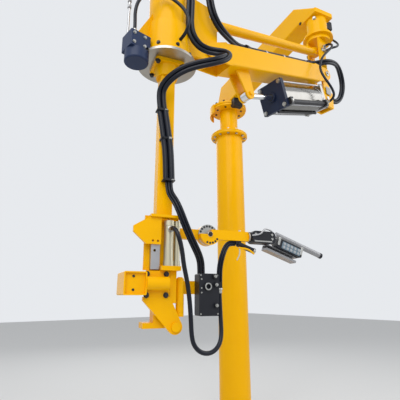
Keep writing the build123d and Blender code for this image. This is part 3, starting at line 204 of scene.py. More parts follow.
@dataclass(frozen=True)
class ViewPoint:
    """The camera, low at the left front, looking up at the boom. Its heading is in degrees from +X."""

    position: Triple = (-2.724, -2.965, 1.400)
    heading: float = 52.6
    pitch: float = 15.4
    lens: float = 31.5
    sensor: float = 36.0

    def build(self) -> None:
        """Make the camera and set it as the scene's."""
        data = bpy.data.cameras.new("view_camera")
        data.lens = self.lens
        data.sensor_width = self.sensor
        camera = show("view_camera", data)
        turn = Matrix.Rotation(math.radians(self.heading - 90), 4, "Z")
        tilt = Matrix.Rotation(math.radians(90 + self.pitch), 4, "X")
        camera.matrix_world = Matrix.Translation(Vector(self.position)) @ turn @ tilt
        bpy.context.scene.camera = camera


class NodeSheet:
    """A short hand for writing a node tree. A node given as a value stands for its first output."""

    def __init__(self, tree: NodeTree) -> None:
        """Keep the tree that the nodes go into."""
        self.tree = tree

    def add(self, kind: str, **values: object) -> Node:
        """Add a node, set its properties and wire or fill its inputs.

        Args:
            kind: the node's type name.
            values: properties by name, or inputs by their name in lower case with underscores.

        Returns:
            The new node.
        """
        node = self.tree.nodes.new(kind)
        ports = {name: self.port(node, name) for name in values}
        for name in values:
            if ports[name] is None:
                setattr(node, name, values[name])
        for name, port in ports.items():
            if port is not None:
                self.feed(values[name], port)
        return node

    def feed(self, value: object, port: NodeSocket) -> None:
        """Wire an input, or set its plain value.

        Args:
            value: a node, a socket or a plain value.
            port: the input.
        """
        if isinstance(value, Node):
            value = value.outputs[0]
        if isinstance(value, NodeSocket):
            self.tree.links.new(value, port)
        else:
            port.default_value = value

    def maths(self, operation: str, first: object, second: object) -> Node:
        """Add a node that reckons with two values."""
        return self.add("ShaderNodeMath", operation=operation, input_0=first, input_1=second)

    @staticmethod
    def port(node: Node, name: str) -> NodeSocket | None:
        """Find the input that a keyword means, if any: input_1 by its place, others by their name."""
        labels = {f"input_{index}": port for index, port in enumerate(node.inputs)}
        return labels.get(name) or next((p for p in node.inputs if p.name.lower().replace(" ", "_") == name), None)


# Finishes: where the noise turns to a patch, and how far the gloss strays to each side of its mean
PATCH_EDGES = (0.45, 0.75)
GLOSS_SPREAD = (-0.07, 0.09)


@dataclass(frozen=True)
class Finish:
    """A surface finish with a slight unevenness in colour, gloss and level.

    Args:
        name: the material's name, after the word finish.
        colour: the plain colour, linear red, green and blue.
        worn: the colour that patches of it turn to.
        roughness: the mean roughness.
        metallic: 1 for bare metal, 0 for paint and plastic.
        sheen: strength of its mirror-like part, 0.5 for common paint and plastic.
        patch_scale: how many patches there are in a metre.
        patch_share: how strongly the patches show, from 0 to 1.
        grain_scale: how fine the small bumps are.
        grain_height: depth of the small bumps in metres.
    """

    name: str
    colour: Triple
    worn: Triple
    roughness: float = 0.4
    metallic: float = 0.0
    sheen: float = 0.5
    patch_scale: float = 5.0
    patch_share: float = 0.35
    grain_scale: float = 220.0
    grain_height: float = 0.00012

    def build(self) -> Material:
        """Return the material, made on first use.

        Returns:
            The material.
        """
        label = f"finish_{self.name}"
        if label in bpy.data.materials:
            return bpy.data.materials[label]
        material = bpy.data.materials.new(label)
        material.use_nodes = True
        sheet = NodeSheet(material.node_tree)
        place = sheet.add("ShaderNodeTexCoord").outputs["Object"]
        patches = sheet.add("ShaderNodeTexNoise", vector=place, scale=self.patch_scale, detail=6.0, roughness=0.6)
        fine = sheet.add("ShaderNodeTexNoise", vector=place, scale=self.grain_scale, detail=3.0)
        low, high = PATCH_EDGES
        spread = sheet.add("ShaderNodeMapRange", value=patches, from_min=low, from_max=high, to_max=self.patch_share)
        mix = sheet.add(
            "ShaderNodeMix", data_type="RGBA", input_0=spread, input_6=(*self.colour, 1.0), input_7=(*self.worn, 1.0)
        )
        smoothest, roughest = (self.roughness + offset for offset in GLOSS_SPREAD)
        gloss = sheet.add("ShaderNodeMapRange", value=fine, to_min=max(smoothest, 0.03), to_max=min(roughest, 1.0))
        looks = {
            "Base Color": mix.outputs[2],
            "Roughness": gloss,
            "Metallic": self.metallic,
            "Specular IOR Level": self.sheen,
            "Normal": self.relief(sheet, place, fine),
        }
        shader = material.node_tree.nodes["Principled BSDF"]
        for port, value in looks.items():
            sheet.feed(value, shader.inputs[port])
        return material

    def relief(self, sheet: NodeSheet, place: NodeSocket, fine: Node) -> Node:
        """Add the node that bumps the surface with the grain."""
        return sheet.add("ShaderNodeBump", height=fine, distance=self.grain_height, strength=0.6)


@dataclass(frozen=True)
class TurnedFinish(Finish):
    """A metal face with fine rings round an upright axis at centre, as turning leaves them."""

    centre: Pair = (0.0, 0.0)
    ring_scale: float = 260.0
    ring_height: float = 0.00008

    def relief(self, sheet: NodeSheet, place: NodeSocket, fine: Node) -> Node:
        """Add the node that bumps the surface with the rings in place of the grain.

        Args:
            sheet: the material's nodes.
            place: the piece's own coordinates.
            fine: the grain.

        Returns:
            The node.
        """
        centred = sheet.add("ShaderNodeMapping", vector=place, location=(-self.centre[0], -self.centre[1], 0.0))
        rings = sheet.add(
            "ShaderNodeTexWave", wave_type="RINGS", rings_direction="Z", vector=centred, scale=self.ring_scale,
            distortion=0.4,
        )
        return sheet.add("ShaderNodeBump", height=rings.outputs["Fac"], distance=self.ring_height, strength=0.5)


YELLOW = Finish(
    "yellow_paint", (0.92, 0.465, 0.0), (0.84, 0.38, 0.0), roughness=0.25, sheen=0.13, patch_share=0.30,
    grain_scale=520.0, grain_height=0.00005,
)
STEEL = Finish("plain_steel", (0.46, 0.46, 0.47), (0.32, 0.31, 0.30), roughness=0.36, metallic=1.0, grain_scale=300.0)
ZINC = Finish("zinc_plate", (0.44, 0.44, 0.42), (0.33, 0.32, 0.29), roughness=0.32, metallic=1.0, patch_scale=30.0)
BLACK_OXIDE = Finish("black_oxide", (0.030, 0.030, 0.034), (0.05, 0.048, 0.045), roughness=0.42, metallic=0.5)
CHROME = Finish(
    "chrome_rod", (0.78, 0.79, 0.80), (0.70, 0.71, 0.72), roughness=0.10, metallic=1.0, patch_share=0.2,
    grain_scale=900.0, grain_height=0.00001,
)
CREAM_ALLOY = Finish(
    "cream_alloy", (0.56, 0.52, 0.38), (0.46, 0.42, 0.30), roughness=0.36, metallic=0.75, grain_height=0.00004,
)
# The barrel's alloy colour is set darker than the bare alloy so that what it reflects reads darker: painted shade in
# its reflections.
BARREL_ALLOY_PAINTED_DARK_REFLECTION = Finish(
    "barrel_alloy", (0.34, 0.33, 0.31), (0.24, 0.225, 0.21), roughness=0.20, metallic=1.0, patch_scale=9.0,
    patch_share=0.5, grain_height=0.00003,
)
NAVY_PLATE = Finish("navy_plate", (0.008, 0.015, 0.042), (0.018, 0.025, 0.050), roughness=0.45, sheen=0.28)
CALIPER_BLUE = Finish("caliper_blue", (0.014, 0.028, 0.078), (0.024, 0.040, 0.090), roughness=0.42, sheen=0.30)
BLACK_PLASTIC = Finish("black_plastic", (0.010, 0.011, 0.016), (0.020, 0.021, 0.026), roughness=0.42, sheen=0.30)
HOSE_RUBBER = Finish(
    "hose_rubber", (0.004, 0.006, 0.013), (0.011, 0.013, 0.020), roughness=0.33, sheen=0.30, patch_scale=12.0,
)
TUBE_GREY = Finish("grip_tube_grey", (0.30, 0.30, 0.31), (0.20, 0.20, 0.21), roughness=0.34, metallic=0.4)
KEYPAD_BLUE = Finish("keypad_blue", (0.13, 0.19, 0.24), (0.17, 0.22, 0.26), roughness=0.55, patch_scale=20.0)
KEY_GREY = Finish("key_grey", (0.36, 0.38, 0.40), (0.28, 0.30, 0.32), roughness=0.5)
PLATE_GREY = Finish("blank_plate_grey", (0.30, 0.29, 0.27), (0.22, 0.21, 0.20), roughness=0.45, metallic=0.5)
STRAP_CREAM = Finish("strap_cream", (0.55, 0.52, 0.38), (0.40, 0.37, 0.26), roughness=0.8)
DISC_STEEL = TurnedFinish(
    "brake_disc_steel", (0.42, 0.40, 0.36), (0.26, 0.25, 0.24), roughness=0.34, metallic=1.0,
    centre=(MAST_AXIS.x, MAST_AXIS.y),
)

# The finishes of the CAD nodes that aren't painted yellow
NODE_FINISHES: dict[Finish, tuple[str, ...]] = {
    STEEL: ("yoke_pins", "head_pins", "head_air_rod", "tool_rail"),
    BARREL_ALLOY_PAINTED_DARK_REFLECTION: ("cylinder_rear", "cylinder_barrel"),
    NAVY_PLATE: ("cylinder_front",),
    BLACK_OXIDE: ("cylinder_pipes",),
    CHROME: ("piston_rod",),
    CALIPER_BLUE: ("head_caliper",),
    DISC_STEEL: ("brake_disc",),
    CREAM_ALLOY: ("clamp_cylinders",),
    BLACK_PLASTIC: ("arm_calipers", "manifold", "handle_knuckle", "control_panel", "hand_lever"),
    TUBE_GREY: ("handle_arm", "handle_grips"),
    ZINC: ("index_disc",),
    HOSE_RUBBER: ("boom_conduit",),
}


def dress(mesh: Mesh, finish: Finish) -> None:
    """Give a mesh one finish."""
    mesh.materials.clear()
    mesh.materials.append(finish.build())


# Node trees
class PieceTree:
    """A node tree that makes a piece out of a line or points, with INPUTS, types by name, and Finish."""

    NAME = ""
    INPUTS: dict[str, str] = {}

    @classmethod
    def shape(cls, sheet: NodeSheet, given: NodeOutputs) -> Node:
        """Write the nodes that make the shape and return the last."""
        raise NotImplementedError

    @classmethod
    def build(cls) -> NodeTree:
        """Return the tree, made on first use.

        Returns:
            The tree.
        """
        if cls.NAME in bpy.data.node_groups:
            return bpy.data.node_groups[cls.NAME]
        tree = bpy.data.node_groups.new(cls.NAME, "GeometryNodeTree")
        for label, kind in {"Geometry": "Geometry", **cls.INPUTS, "Finish": "Material"}.items():
            tree.interface.new_socket(label, in_out="INPUT", socket_type=f"NodeSocket{kind}")
        tree.interface.new_socket("Geometry", in_out="OUTPUT", socket_type="NodeSocketGeometry")
        sheet = NodeSheet(tree)
        given = sheet.add("NodeGroupInput").outputs
        plain = sheet.add("GeometryNodeRealizeInstances", geometry=cls.shape(sheet, given))
        dressed = sheet.add("GeometryNodeSetMaterial", geometry=plain, material=given["Finish"])
        sheet.add("NodeGroupOutput", geometry=dressed)
        return tree

    @classmethod
    def settle(cls, name: str, raw: Object, sizes: dict[str, object], finish: Finish) -> Object:
        """Put the tree on a line or points and turn the result into a plain piece.

        Args:
            name: the piece's name.
            raw: the line or points, which are removed.
            sizes: the tree's inputs by name.
            finish: the piece's finish.

        Returns:
            The piece.
        """
        modifier = raw.modifiers.new("nodes", "NODES")
        modifier.node_group = cls.build()
        values = {**sizes, "Finish": finish.build()}
        for item in modifier.node_group.interface.items_tree:
            if item.in_out == "INPUT" and item.name in values:
                modifier[item.identifier] = values[item.name]
        mesh = evaluated(raw)
        mesh.name = name
        bpy.data.objects.remove(raw, do_unlink=True)
        return show(name, mesh)


class HoseTree(PieceTree):
    """The node tree that makes a tube along a line, or several side by side."""

    NAME = "hose_tube"
    INPUTS = {"Strands": "Int", "Diameter": "Float", "Step": "Float", "Facing": "Vector"}
    ROW_FACING = (-0.6, -0.78, -0.2)

    @classmethod
    def shape(cls, sheet: NodeSheet, given: NodeOutputs) -> Node:
        """Sweep a row of circles along the line, with the row square to Facing.

        Args:
            sheet: the tree's nodes.
            given: the tree's inputs.

        Returns:
            The last node.
        """
        thick = given["Diameter"]
        evened = sheet.add("GeometryNodeResampleCurve", mode="LENGTH", curve=given["Geometry"], length=given["Step"])
        heading = sheet.add("GeometryNodeInputTangent")
        across = sheet.add("ShaderNodeVectorMath", operation="CROSS_PRODUCT", input_0=heading, input_1=given["Facing"])
        line = sheet.add("GeometryNodeSetCurveNormal", mode="FREE", curve=evened, normal=across)
        half = sheet.maths("MULTIPLY", thick, 0.5)
        ring = sheet.add("GeometryNodeCurvePrimitiveCircle", resolution=ROUND, radius=half)
        span = sheet.maths("MULTIPLY", sheet.maths("SUBTRACT", given["Strands"], 1.0), thick)
        row = sheet.add(
            "GeometryNodeMeshLine",
            count=given["Strands"],
            start_location=sheet.add("ShaderNodeCombineXYZ", x=sheet.maths("MULTIPLY", span, -0.5)),
            offset=sheet.add("ShaderNodeCombineXYZ", x=thick),
        )
        rings = sheet.add("GeometryNodeInstanceOnPoints", points=row, instance=ring)
        profile = sheet.add("GeometryNodeRealizeInstances", geometry=rings)
        tube = sheet.add("GeometryNodeCurveToMesh", curve=line, profile_curve=profile, fill_caps=True)
        return sheet.add("GeometryNodeSetShadeSmooth", geometry=tube)

    @classmethod
    def along(cls, name: str, line: Object, diameter: float, finish: Finish, strands: int = 1) -> Object:
        """Make a tube along a line.

        Args:
            name: the piece's name.
            line: the line, which is removed.
            diameter: the tube's diameter in metres.
            finish: its finish.
            strands: how many tubes lie side by side.

        Returns:
            The piece.
        """
        sizes = {"Strands": strands, "Diameter": diameter, "Step": diameter / 3, "Facing": cls.ROW_FACING}
        piece = cls.settle(name, line, sizes, finish)
        outward(piece.data)
        return piece


class BoltTree(PieceTree):
    """The node tree that sets bolt heads, each on a washer, on points that carry their facing."""

    NAME = "bolt_heads"
    INPUTS = {"Corners": "Int", "Width": "Float", "Height": "Float", "Washer": "Float"}
    WASHER_WIDTH = 1.28
    WASHER_HEIGHT = 0.35

    @classmethod
    def shape(cls, sheet: NodeSheet, given: NodeOutputs) -> Node:
        """Make one head with its washer and set it on every point.

        Args:
            sheet: the tree's nodes.
            given: the tree's inputs.

        Returns:
            The last node.
        """
        half = sheet.maths("MULTIPLY", given["Width"], 0.5)
        head = sheet.add("GeometryNodeMeshCylinder", vertices=given["Corners"], radius=half, depth=given["Height"])
        lift = sheet.add("ShaderNodeCombineXYZ", z=sheet.maths("MULTIPLY", given["Height"], 0.5))
        raised = sheet.add("GeometryNodeTransform", geometry=head, translation=lift)
        rim = sheet.maths("MULTIPLY", half, cls.WASHER_WIDTH)
        washer = sheet.add("GeometryNodeMeshCylinder", vertices=ROUND, radius=rim, depth=given["Washer"])
        both = sheet.add("GeometryNodeJoinGeometry")
        for part in (raised, washer):
            sheet.feed(part, both.inputs[0])
        normal = sheet.add("GeometryNodeInputNamedAttribute", data_type="FLOAT_VECTOR", name="facing")
        turn = sheet.add("FunctionNodeAlignRotationToVector", axis="Z", vector=normal)
        return sheet.add("GeometryNodeInstanceOnPoints", points=given["Geometry"], instance=both, rotation=turn)


# Hoses
@dataclass(frozen=True)
class Hose:
    """A hose on its given route.

    Args:
        node: the CAD node it stands for.
        route: its route's points in metres.
        diameter: outer diameter in metres.
        bodies: the body it rides on; a hose given two bodies is put on neither.
        strands: how many hoses lie side by side in it.
        strand: diameter of each of them, or None for the whole diameter.
        bend: where the bend between two bodies starts and ends, or None for the route's ends; not used.
        free: whether it hangs free between its ends; not used.
    """

    node: str
    route: list[Vector]
    diameter: float
    bodies: tuple[str, ...]
    strands: int = 1
    strand: float | None = None
    bend: tuple[Triple, Triple] | None = None
    free: bool = True

    def build(self) -> None:
        line = trace(self.node, self.route)
        traced = evaluated(line)
        path = [vertex.co.copy() for vertex in traced.vertices]
        bpy.data.meshes.remove(traced)
        length = sum((b - a).length for a, b in zip(path, path[1:]))
        tube = HoseTree.along(f"hose_{self.node}", line, self.strand or self.diameter, HOSE_RUBBER, self.strands)
        if len(self.bodies) == 2:
            start, end = self.bend or (self.route[0], self.route[-1])
            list(self.bodies)
            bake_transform(tube)
            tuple(start)
            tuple(end)
        else:
            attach(tube, self.bodies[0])
        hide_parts(self.node)
        if self.free:
            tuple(self.route[0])


@dataclass(frozen=True)
class HoseSet:
    """All hoses of the machine, their diameters in metres and their routes in millimetres."""

    conduit: float = 0.034
    conduit_strand: float = 0.0236
    feed: float = 0.015
    feed_skin: float = 0.018
    signal: float = 0.020
    rise_end: Triple = (-1657, -1657, 3230)

    def head_runs(self) -> list[Hose]:
        """Give the conduit from the boom over the head to the mast.

        Returns:
            The two runs.
        """
        up = [boom_point(900), boom_point(960)] + places(
            (-1410, -1600, 2954), (-1490, -1632, 2938), (-1565, -1650, 2946), (-1620, -1656, 2995),
            (-1646, -1657, 3070), (-1657, -1657, 3150), self.rise_end,
        )
        down = places(
            self.rise_end, (-1657, -1657, 3336), (-1713, -1665, 3392), (-1791, -1675, 3392), (-1847, -1682, 3336),
            (-1842, -1681, 3230), (-1812, -1675, 3130), (-1799, -1671, 3020), (-1801, -1669, 2915),
            (-1803, -1667, 2830), (-1787, -1669, 2765), (-1745, -1678, 2716), (-1695, -1696, 2700),
            (-1655, -1722, 2694), (-1635, -1762, 2672), (-1643, -1800, 2632), (-1675, -1820, 2588),
            (-1722, -1820, 2552), (-1775, -1800, 2527), (-1831, -1764, 2508), (-1876, -1722, 2488),
            (-1908, -1674, 2464), (-1927, -1622, 2432),
        ) + on_tool((-48.4, MAST_CONDUIT_Y, 2384), (-34, MAST_CONDUIT_Y, 2300))
        bend = ((-1.80, -1.67, 2.95), (-1.92, -1.62, 2.42))
        return [
            Hose("head_hose_up", up, self.conduit, ("boom", "head"), 2, self.conduit_strand),
            Hose("head_hose_down", down, self.conduit, ("head", "mast"), 2, self.conduit_strand, bend),
        ]

    def yoke_and_feed_runs(self) -> list[Hose]:
        """Give the loop round the yoke and the feed hoses of the elbow, the lift cylinder and the head's caliper.

        Returns:
            The four runs.
        """
        loop = [boom_point(165), boom_point(110)] + places(
            (-455, -1612, 3236), (-395, -1642, 3256), (-325, -1645, 3279), (-245, -1632, 3300), (-172, -1612, 3290),
            (-120, -1596, 3240), (-100, -1585, 3168), (-114, -1577, 3095), (-150, -1572, 3034), (-200, -1570, 2992),
            (-255, -1570, 2977), (-309.2, -1570, 2977),
        )
        elbow = [ELBOW_PORT] + places(
            (-217, -1571, 3645), (-213, -1605, 3585), (-224, -1646, 3525), (-252, -1674, 3470), (-291, -1685, 3428),
            (-326, -1684, 3404), (-352, -1668, 3393), (-364, -1636, 3390),
        ) + [YOKE_ELBOW_PORT]
        cylinder = [YOKE_CYLINDER_PORT] + places(
            (-366, -1636, 3440), (-366, -1668, 3424), (-376, -1688, 3394), (-408, -1692, 3348), (-460, -1684, 3292),
            (-520, -1676, 3224), (-562, -1674, 3150), (-584, -1682, 3070), (-576, -1704, 2996), (-548, -1722, 2942),
            (-522, -1730, 2898),
        ) + [CYLINDER_PORT + offset for offset in places((0, -63, 37), (0, -50, 13.5), (0, -26.5, 0), (0, 0, 0))]
        caliper = [CALIPER_PORT, CALIPER_PORT + Vector((0, 0, 0.060))] + places(
            (-2090, -1584, 2822), (-2078, -1594, 2892), (-2042, -1612, 2940), (-1988, -1637, 2960),
            (-1932, -1662, 2945), (-1893, -1692, 2902), (-1873, -1722, 2848), (-1865, -1741, 2796),
            (-1863, -1746, 2754), (-1864, -1730, 2721),
        ) + [Vector((MAST_AXIS.x, -1.702, 2.703)), Vector((MAST_AXIS.x, MAST_AXIS.y - 0.12835, 2.701))]
        return [
            Hose("yoke_hose", loop, self.conduit, ("boom", "yoke"), 2, self.conduit_strand),
            Hose("elbow_hose", elbow, self.feed, ("inner_arm", "yoke"), strand=self.feed_skin),
            Hose("cylinder_hose", cylinder, self.feed, ("yoke", "lift_cylinder"), strand=self.feed_skin),
            Hose("head_caliper_hose", caliper, self.feed, ("head",), strand=self.feed_skin),
        ]

    def tool_runs(self) -> list[Hose]:
        """Give the hoses between the tool's cylinders, its manifold and the handle, and the conduit on the mast.

        Returns:
            The four runs.
        """
        feed = on_tool(
            (8, MAST_CONDUIT_Y, 1930), (9.54, MAST_CONDUIT_Y, 1890), (15, -90, 1856), (27, -118, 1822),
            (45, -133, 1773), (69, -134, 1714), (99, -122, 1660), (130, -100, 1620), (157, -74, 1590),
            (176, -52, 1564), (184, -41, 1534), (184, -41, 1503),
        )
        loop = on_tool(
            (12.5, -107.1, 1694), (12.5, -134.1, 1694), (16, -158, 1683), (23, -173, 1661), (33, -176, 1630),
            (46, -168, 1586), (60, -150, 1530), (82, -130, 1470), (100, -114, 1395), (111, -104, 1310),
            (116, -100, 1240), (127, -97, 1199), (157, -92, 1169), (198, -84, 1158), (239, -74, 1169),
            (269, -62, 1199), (280, -52, 1240), (281, -44, 1300), (281, -39, 1360), (280, -38, 1400),
            (280, -38, 1438),
        )
        handle = on_tool(
            (280, -38, 1466), (280, -38, 1515), (285, -46, 1565), (298, -50, 1608), (317, -42, 1639),
            (342, -31, 1658), (373, -31, 1658),
        )
        mast = on_tool(*((x, MAST_CONDUIT_Y, z) for x, z in ((-34, 2300), (-10, 2160), (3, 2060), (8, 1930))))
        return [
            Hose("manifold_hose", feed, 0.026, ("mast",), 3, 0.0120),
            Hose("tool_loop_hose", loop, self.signal, ("mast",)),
            Hose("handle_hose", handle, self.signal, ("mast", "handlebar"), 3, 0.0092),
            Hose("mast_conduit", mast, 0.057, ("mast",), 2, 0.028, free=False),
        ]

    def build(self) -> None:
        """Make every hose."""
        for hose in (*self.head_runs(), *self.yoke_and_feed_runs(), *self.tool_runs()):
            hose.build()


# Small parts
# The signs of a rectangle's corners in turn, and how many flats round one off
CORNERS = ((1, 1), (-1, 1), (-1, -1), (1, -1))
CORNER_STEPS = 4
SHARP_ANGLE = math.radians(40)
# The swaged end of a hose with its nut: millimetres over the hose's radius, and from its end
FERRULE = (
    (4.0, 0.0), (4.6, 1.0), (4.6, 7.0), (1.6, 8.0), (1.6, 13.0), (1.1, 14.5), (1.6, 16.0), (1.6, 22.0), (0.6, 24.0),
    (-0.4, 24.0), (-0.4, 0.0),
)


class BoltHead(Enum):
    """Corners of a bolt's head: six for a hexagon, many for a round cap screw."""

    HEXAGON = 6
    CAP = ROUND


@dataclass(frozen=True)
class Workbench:
    """Makes small parts that ride on one body."""

    body: str

    def bolts(
        self, name: str, width: float, height: float, spots: Iterable[Vector], facing: Vector | list[Vector],
        finish: Finish = ZINC, head: BoltHead = BoltHead.HEXAGON,
    ) -> None:
        """Make bolt heads of one size as one piece.

        Args:
            name: the piece's name.
            width: width of a head in metres.
            height: height of a head in metres.
            spots: where the heads stand.
            facing: the direction that all of them face, or one for each.
            finish: their finish.
            head: hexagon or cap screw.
        """
        mesh = bpy.data.meshes.new(f"{name}_points")
        mesh.from_pydata(list(spots), [], [])
        directions = facing if isinstance(facing, list) else [facing] * len(mesh.vertices)
        normals = mesh.attributes.new("facing", "FLOAT_VECTOR", "POINT")
        normals.data.foreach_set("vector", [part for direction in directions for part in direction.normalized()])
        washer = height * BoltTree.WASHER_HEIGHT
        sizes = {"Corners": head.value, "Width": width, "Height": height, "Washer": washer}
        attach(BoltTree.settle(name, show(mesh.name, mesh), sizes, finish), self.body)

    def turned(
        self, name: str, place: Vector, axis: Vector, profile: tuple[Pair, ...], finish: Finish,
        closed: bool = False, segments: int = 36,
    ) -> None:
        """Make a round part by turning a profile.

        Args:
            name: the piece's name.
            place: the foot of its axis.
            axis: the axis, away from what it stands on.
            profile: radius and height of each corner in millimetres, from the foot up.
            finish: its finish.
            closed: whether the profile runs back to its first corner, as for a ring.
            segments: how many flats there are round it.
        """
        turn = axis.to_track_quat("Z", "Y").to_matrix()
        angles = [math.tau * index / segments for index in range(segments)]
        rows = [
            [place + turn @ (Vector((radius * math.cos(a), radius * math.sin(a), height)) * MM) for a in angles]
            for radius, height in profile
        ]
        self.join(name, rows, finish, closed)

    def ring(
        self, name: str, place: Vector, axis: Vector, size: Triple, finish: Finish, edge: float = 0.8,
        segments: int = 36,
    ) -> None:
        """Make a ring with broken edges.

        Args:
            name: the piece's name.
            place: the middle of its foot.
            axis: the axis, away from what it stands on.
            size: outer radius, width of the band and height in millimetres.
            finish: its finish.
            edge: width of its broken edges in millimetres.
            segments: how many flats there are round it.
        """
        radius, width, height = size
        inner = radius - width
        outer = ((radius - edge, 0.0), (radius, edge), (radius, height - edge), (radius - edge, height))
        self.turned(name, place, axis, ((inner, 0.0), *outer, (inner, height)), finish, True, segments)

    def plate(
        self, name: str, place: Vector, right: Vector, upward: Vector, size: Triple, finish: Finish,
        corner: float = 2.0, edge: float = 0.5,
    ) -> None:
        """Make a flat part with round corners and a broken front edge.

        Args:
            name: the piece's name.
            place: the middle of its back face.
            right: the direction of its width.
            upward: the direction of its height.
            size: width, height and thickness in millimetres.
            finish: its finish.
            corner: radius of its corners in millimetres.
            edge: width of its broken front edge in millimetres.
        """
        right, upward = right.normalized(), upward.normalized()
        out = right.cross(upward)
        width, height, thick = size
        rows = []
        for inset, level in ((0.0, 0.0), (0.0, thick - edge), (edge, thick)):
            outline = self.outline(width / 2 - inset, height / 2 - inset, max(corner - inset, 0.3))
            rows.append([place + (right * x + upward * y + out * level) * MM for x, y in outline])
        self.join(name, rows, finish)

    @staticmethod
    def outline(half_width: float, half_height: float, corner: float) -> list[Pair]:
        """Give the points of a rectangle with round corners, in turn.

        Args:
            half_width: half its width.
            half_height: half its height.
            corner: radius of its corners.

        Returns:
            The points.
        """
        points = []
        for (index, (side, end)), step in product(enumerate(CORNERS), range(CORNER_STEPS + 1)):
            angle = math.radians(90 * (index + step / CORNER_STEPS))
            x = side * (half_width - corner) + corner * math.cos(angle)
            points.append((x, end * (half_height - corner) + corner * math.sin(angle)))
        return points

    def join(self, name: str, rows: list[list[Vector]], finish: Finish, closed: bool = False) -> None:
        """Join rows of points to a part and put it on the body.

        Args:
            name: the piece's name.
            rows: rows of equally many points, each running once round the part.
            finish: its finish.
            closed: whether the last row joins the first, instead of both ends being capped.
        """
        count = len(rows[0])
        faces = []
        for row in range(len(rows) if closed else len(rows) - 1):
            low, high = row * count, (row + 1) % len(rows) * count
            for index in range(count):
                after = (index + 1) % count
                faces.append((low + index, low + after, high + after, high + index))
        if not closed:
            top = (len(rows) - 1) * count
            faces += [tuple(reversed(range(count))), tuple(range(top, top + count))]
        mesh = bpy.data.meshes.new(name)
        mesh.from_pydata([point for row in rows for point in row], [], faces)
        mesh.validate()
        dress(mesh, finish)
        outward(mesh)
        mesh.set_sharp_from_angle(angle=SHARP_ANGLE)
        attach(show(name, mesh), self.body)

    def tube(self, name: str, points: list[Vector], diameter: float, finish: Finish) -> None:
        """Bend a rod or pipe along a few points."""
        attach(HoseTree.along(name, trace(name, points), diameter, finish), self.body)

    def ferrule(self, name: str, place: Vector, axis: Vector, hose: float = HoseSet.feed_skin) -> None:
        """Make the end of a hose of that diameter in metres, where it enters a body."""
        profile = tuple((hose / 2 / MM + out, level) for out, level in FERRULE)
        self.turned(name, place, axis, profile, ZINC, closed=True)


@dataclass(frozen=True)
class Pedestal(Workbench):
    """Anchors and flange bolts of the column."""

    body: str = "pedestal"
    anchor_half: float = 0.250
    base_top: float = 0.025
    flange_low: float = 3.290
    flange_high: float = 3.340
    flange_circle: float = 0.190
    disc_under: float = 3.656
    disc_circle: float = 0.160
    joint: Triple = (223.3, 8.0, 2.0)

    @staticmethod
    def circle(level: float, axis: Vector, radius: float, count: int, start: float) -> list[Vector]:
        """Give places round the column, from a start in degrees about an upright axis."""
        turns = [Matrix.Rotation(math.radians(start + 360 * index / count), 3, axis) for index in range(count)]
        return [UP * level + turn @ RIGHT * radius for turn in turns]

    def build(self) -> None:
        """Make the fasteners."""
        feet = [Vector((x * self.anchor_half, y * self.anchor_half, self.base_top)) for x, y in CORNERS]
        for index, foot in enumerate(feet):
            self.turned(f"anchor_stud_{index}", foot, UP, ((11.5, -8), (11.5, 40), (9.5, 43)), ZINC)
        self.bolts("anchor_nuts", 0.041, 0.019, feet, UP)
        low = self.circle(self.flange_low, DOWN, self.flange_circle, 12, 15)
        high = self.circle(self.flange_high, UP, self.flange_circle, 12, 15)
        self.bolts("flange_bolts", 0.027, 0.013, low + high, [DOWN] * 12 + [UP] * 12)
        disc = self.circle(self.disc_under, DOWN, self.disc_circle, 8, 10)
        self.bolts("disc_bolts", 0.022, 0.010, disc, DOWN, BLACK_OXIDE)
        foot = UP * ((self.flange_low + self.flange_high - self.joint[2] * MM) / 2)
        self.ring("flange_joint", foot, UP, self.joint, BLACK_OXIDE, 0.2, 96)


@dataclass(frozen=True)
class InnerArm(Workbench):
    """Bolts of the inner arm's flange and elbow, and the end of its hose."""

    body: str = "inner_arm"
    flange_top: float = 3.7003
    flange_circle: float = 0.207
    heading: float = 257.5
    ahead: Triple = (-0.21644, -0.976296, 0)
    beside: Triple = (-0.976296, 0.21644, 0)
    fitting: Triple = (-0.912, -0.410, 0)
    fitting_reach: float = 0.085
    fitting_level: float = 3.719
    plate_aside: float = 0.0985
    plate_behind: float = 0.086
    plate_level: float = 3.762

    def build(self) -> None:
        """Make the fasteners."""
        angles = range(45, 316, 30)
        spots = [compass(self.heading + angle) * self.flange_circle + UP * self.flange_top for angle in angles]
        self.bolts("arm_flange_bolts", 0.026, 0.021, spots, UP, BLACK_OXIDE)
        centre = ELBOW.xy.to_3d()
        ahead, beside, outer = Vector(self.ahead), Vector(self.beside), Vector(self.fitting)
        spot = centre + outer * self.fitting_reach + UP * self.fitting_level
        self.bolts("elbow_drum_fitting", 0.026, 0.014, [spot], outer)
        plate = centre + beside * self.plate_aside - ahead * self.plate_behind + UP * self.plate_level
        self.bolts("elbow_plate_bolt", 0.022, 0.009, [plate], beside, BLACK_OXIDE)
        self.ferrule("elbow_hose_end", ELBOW_PORT, DOWN)


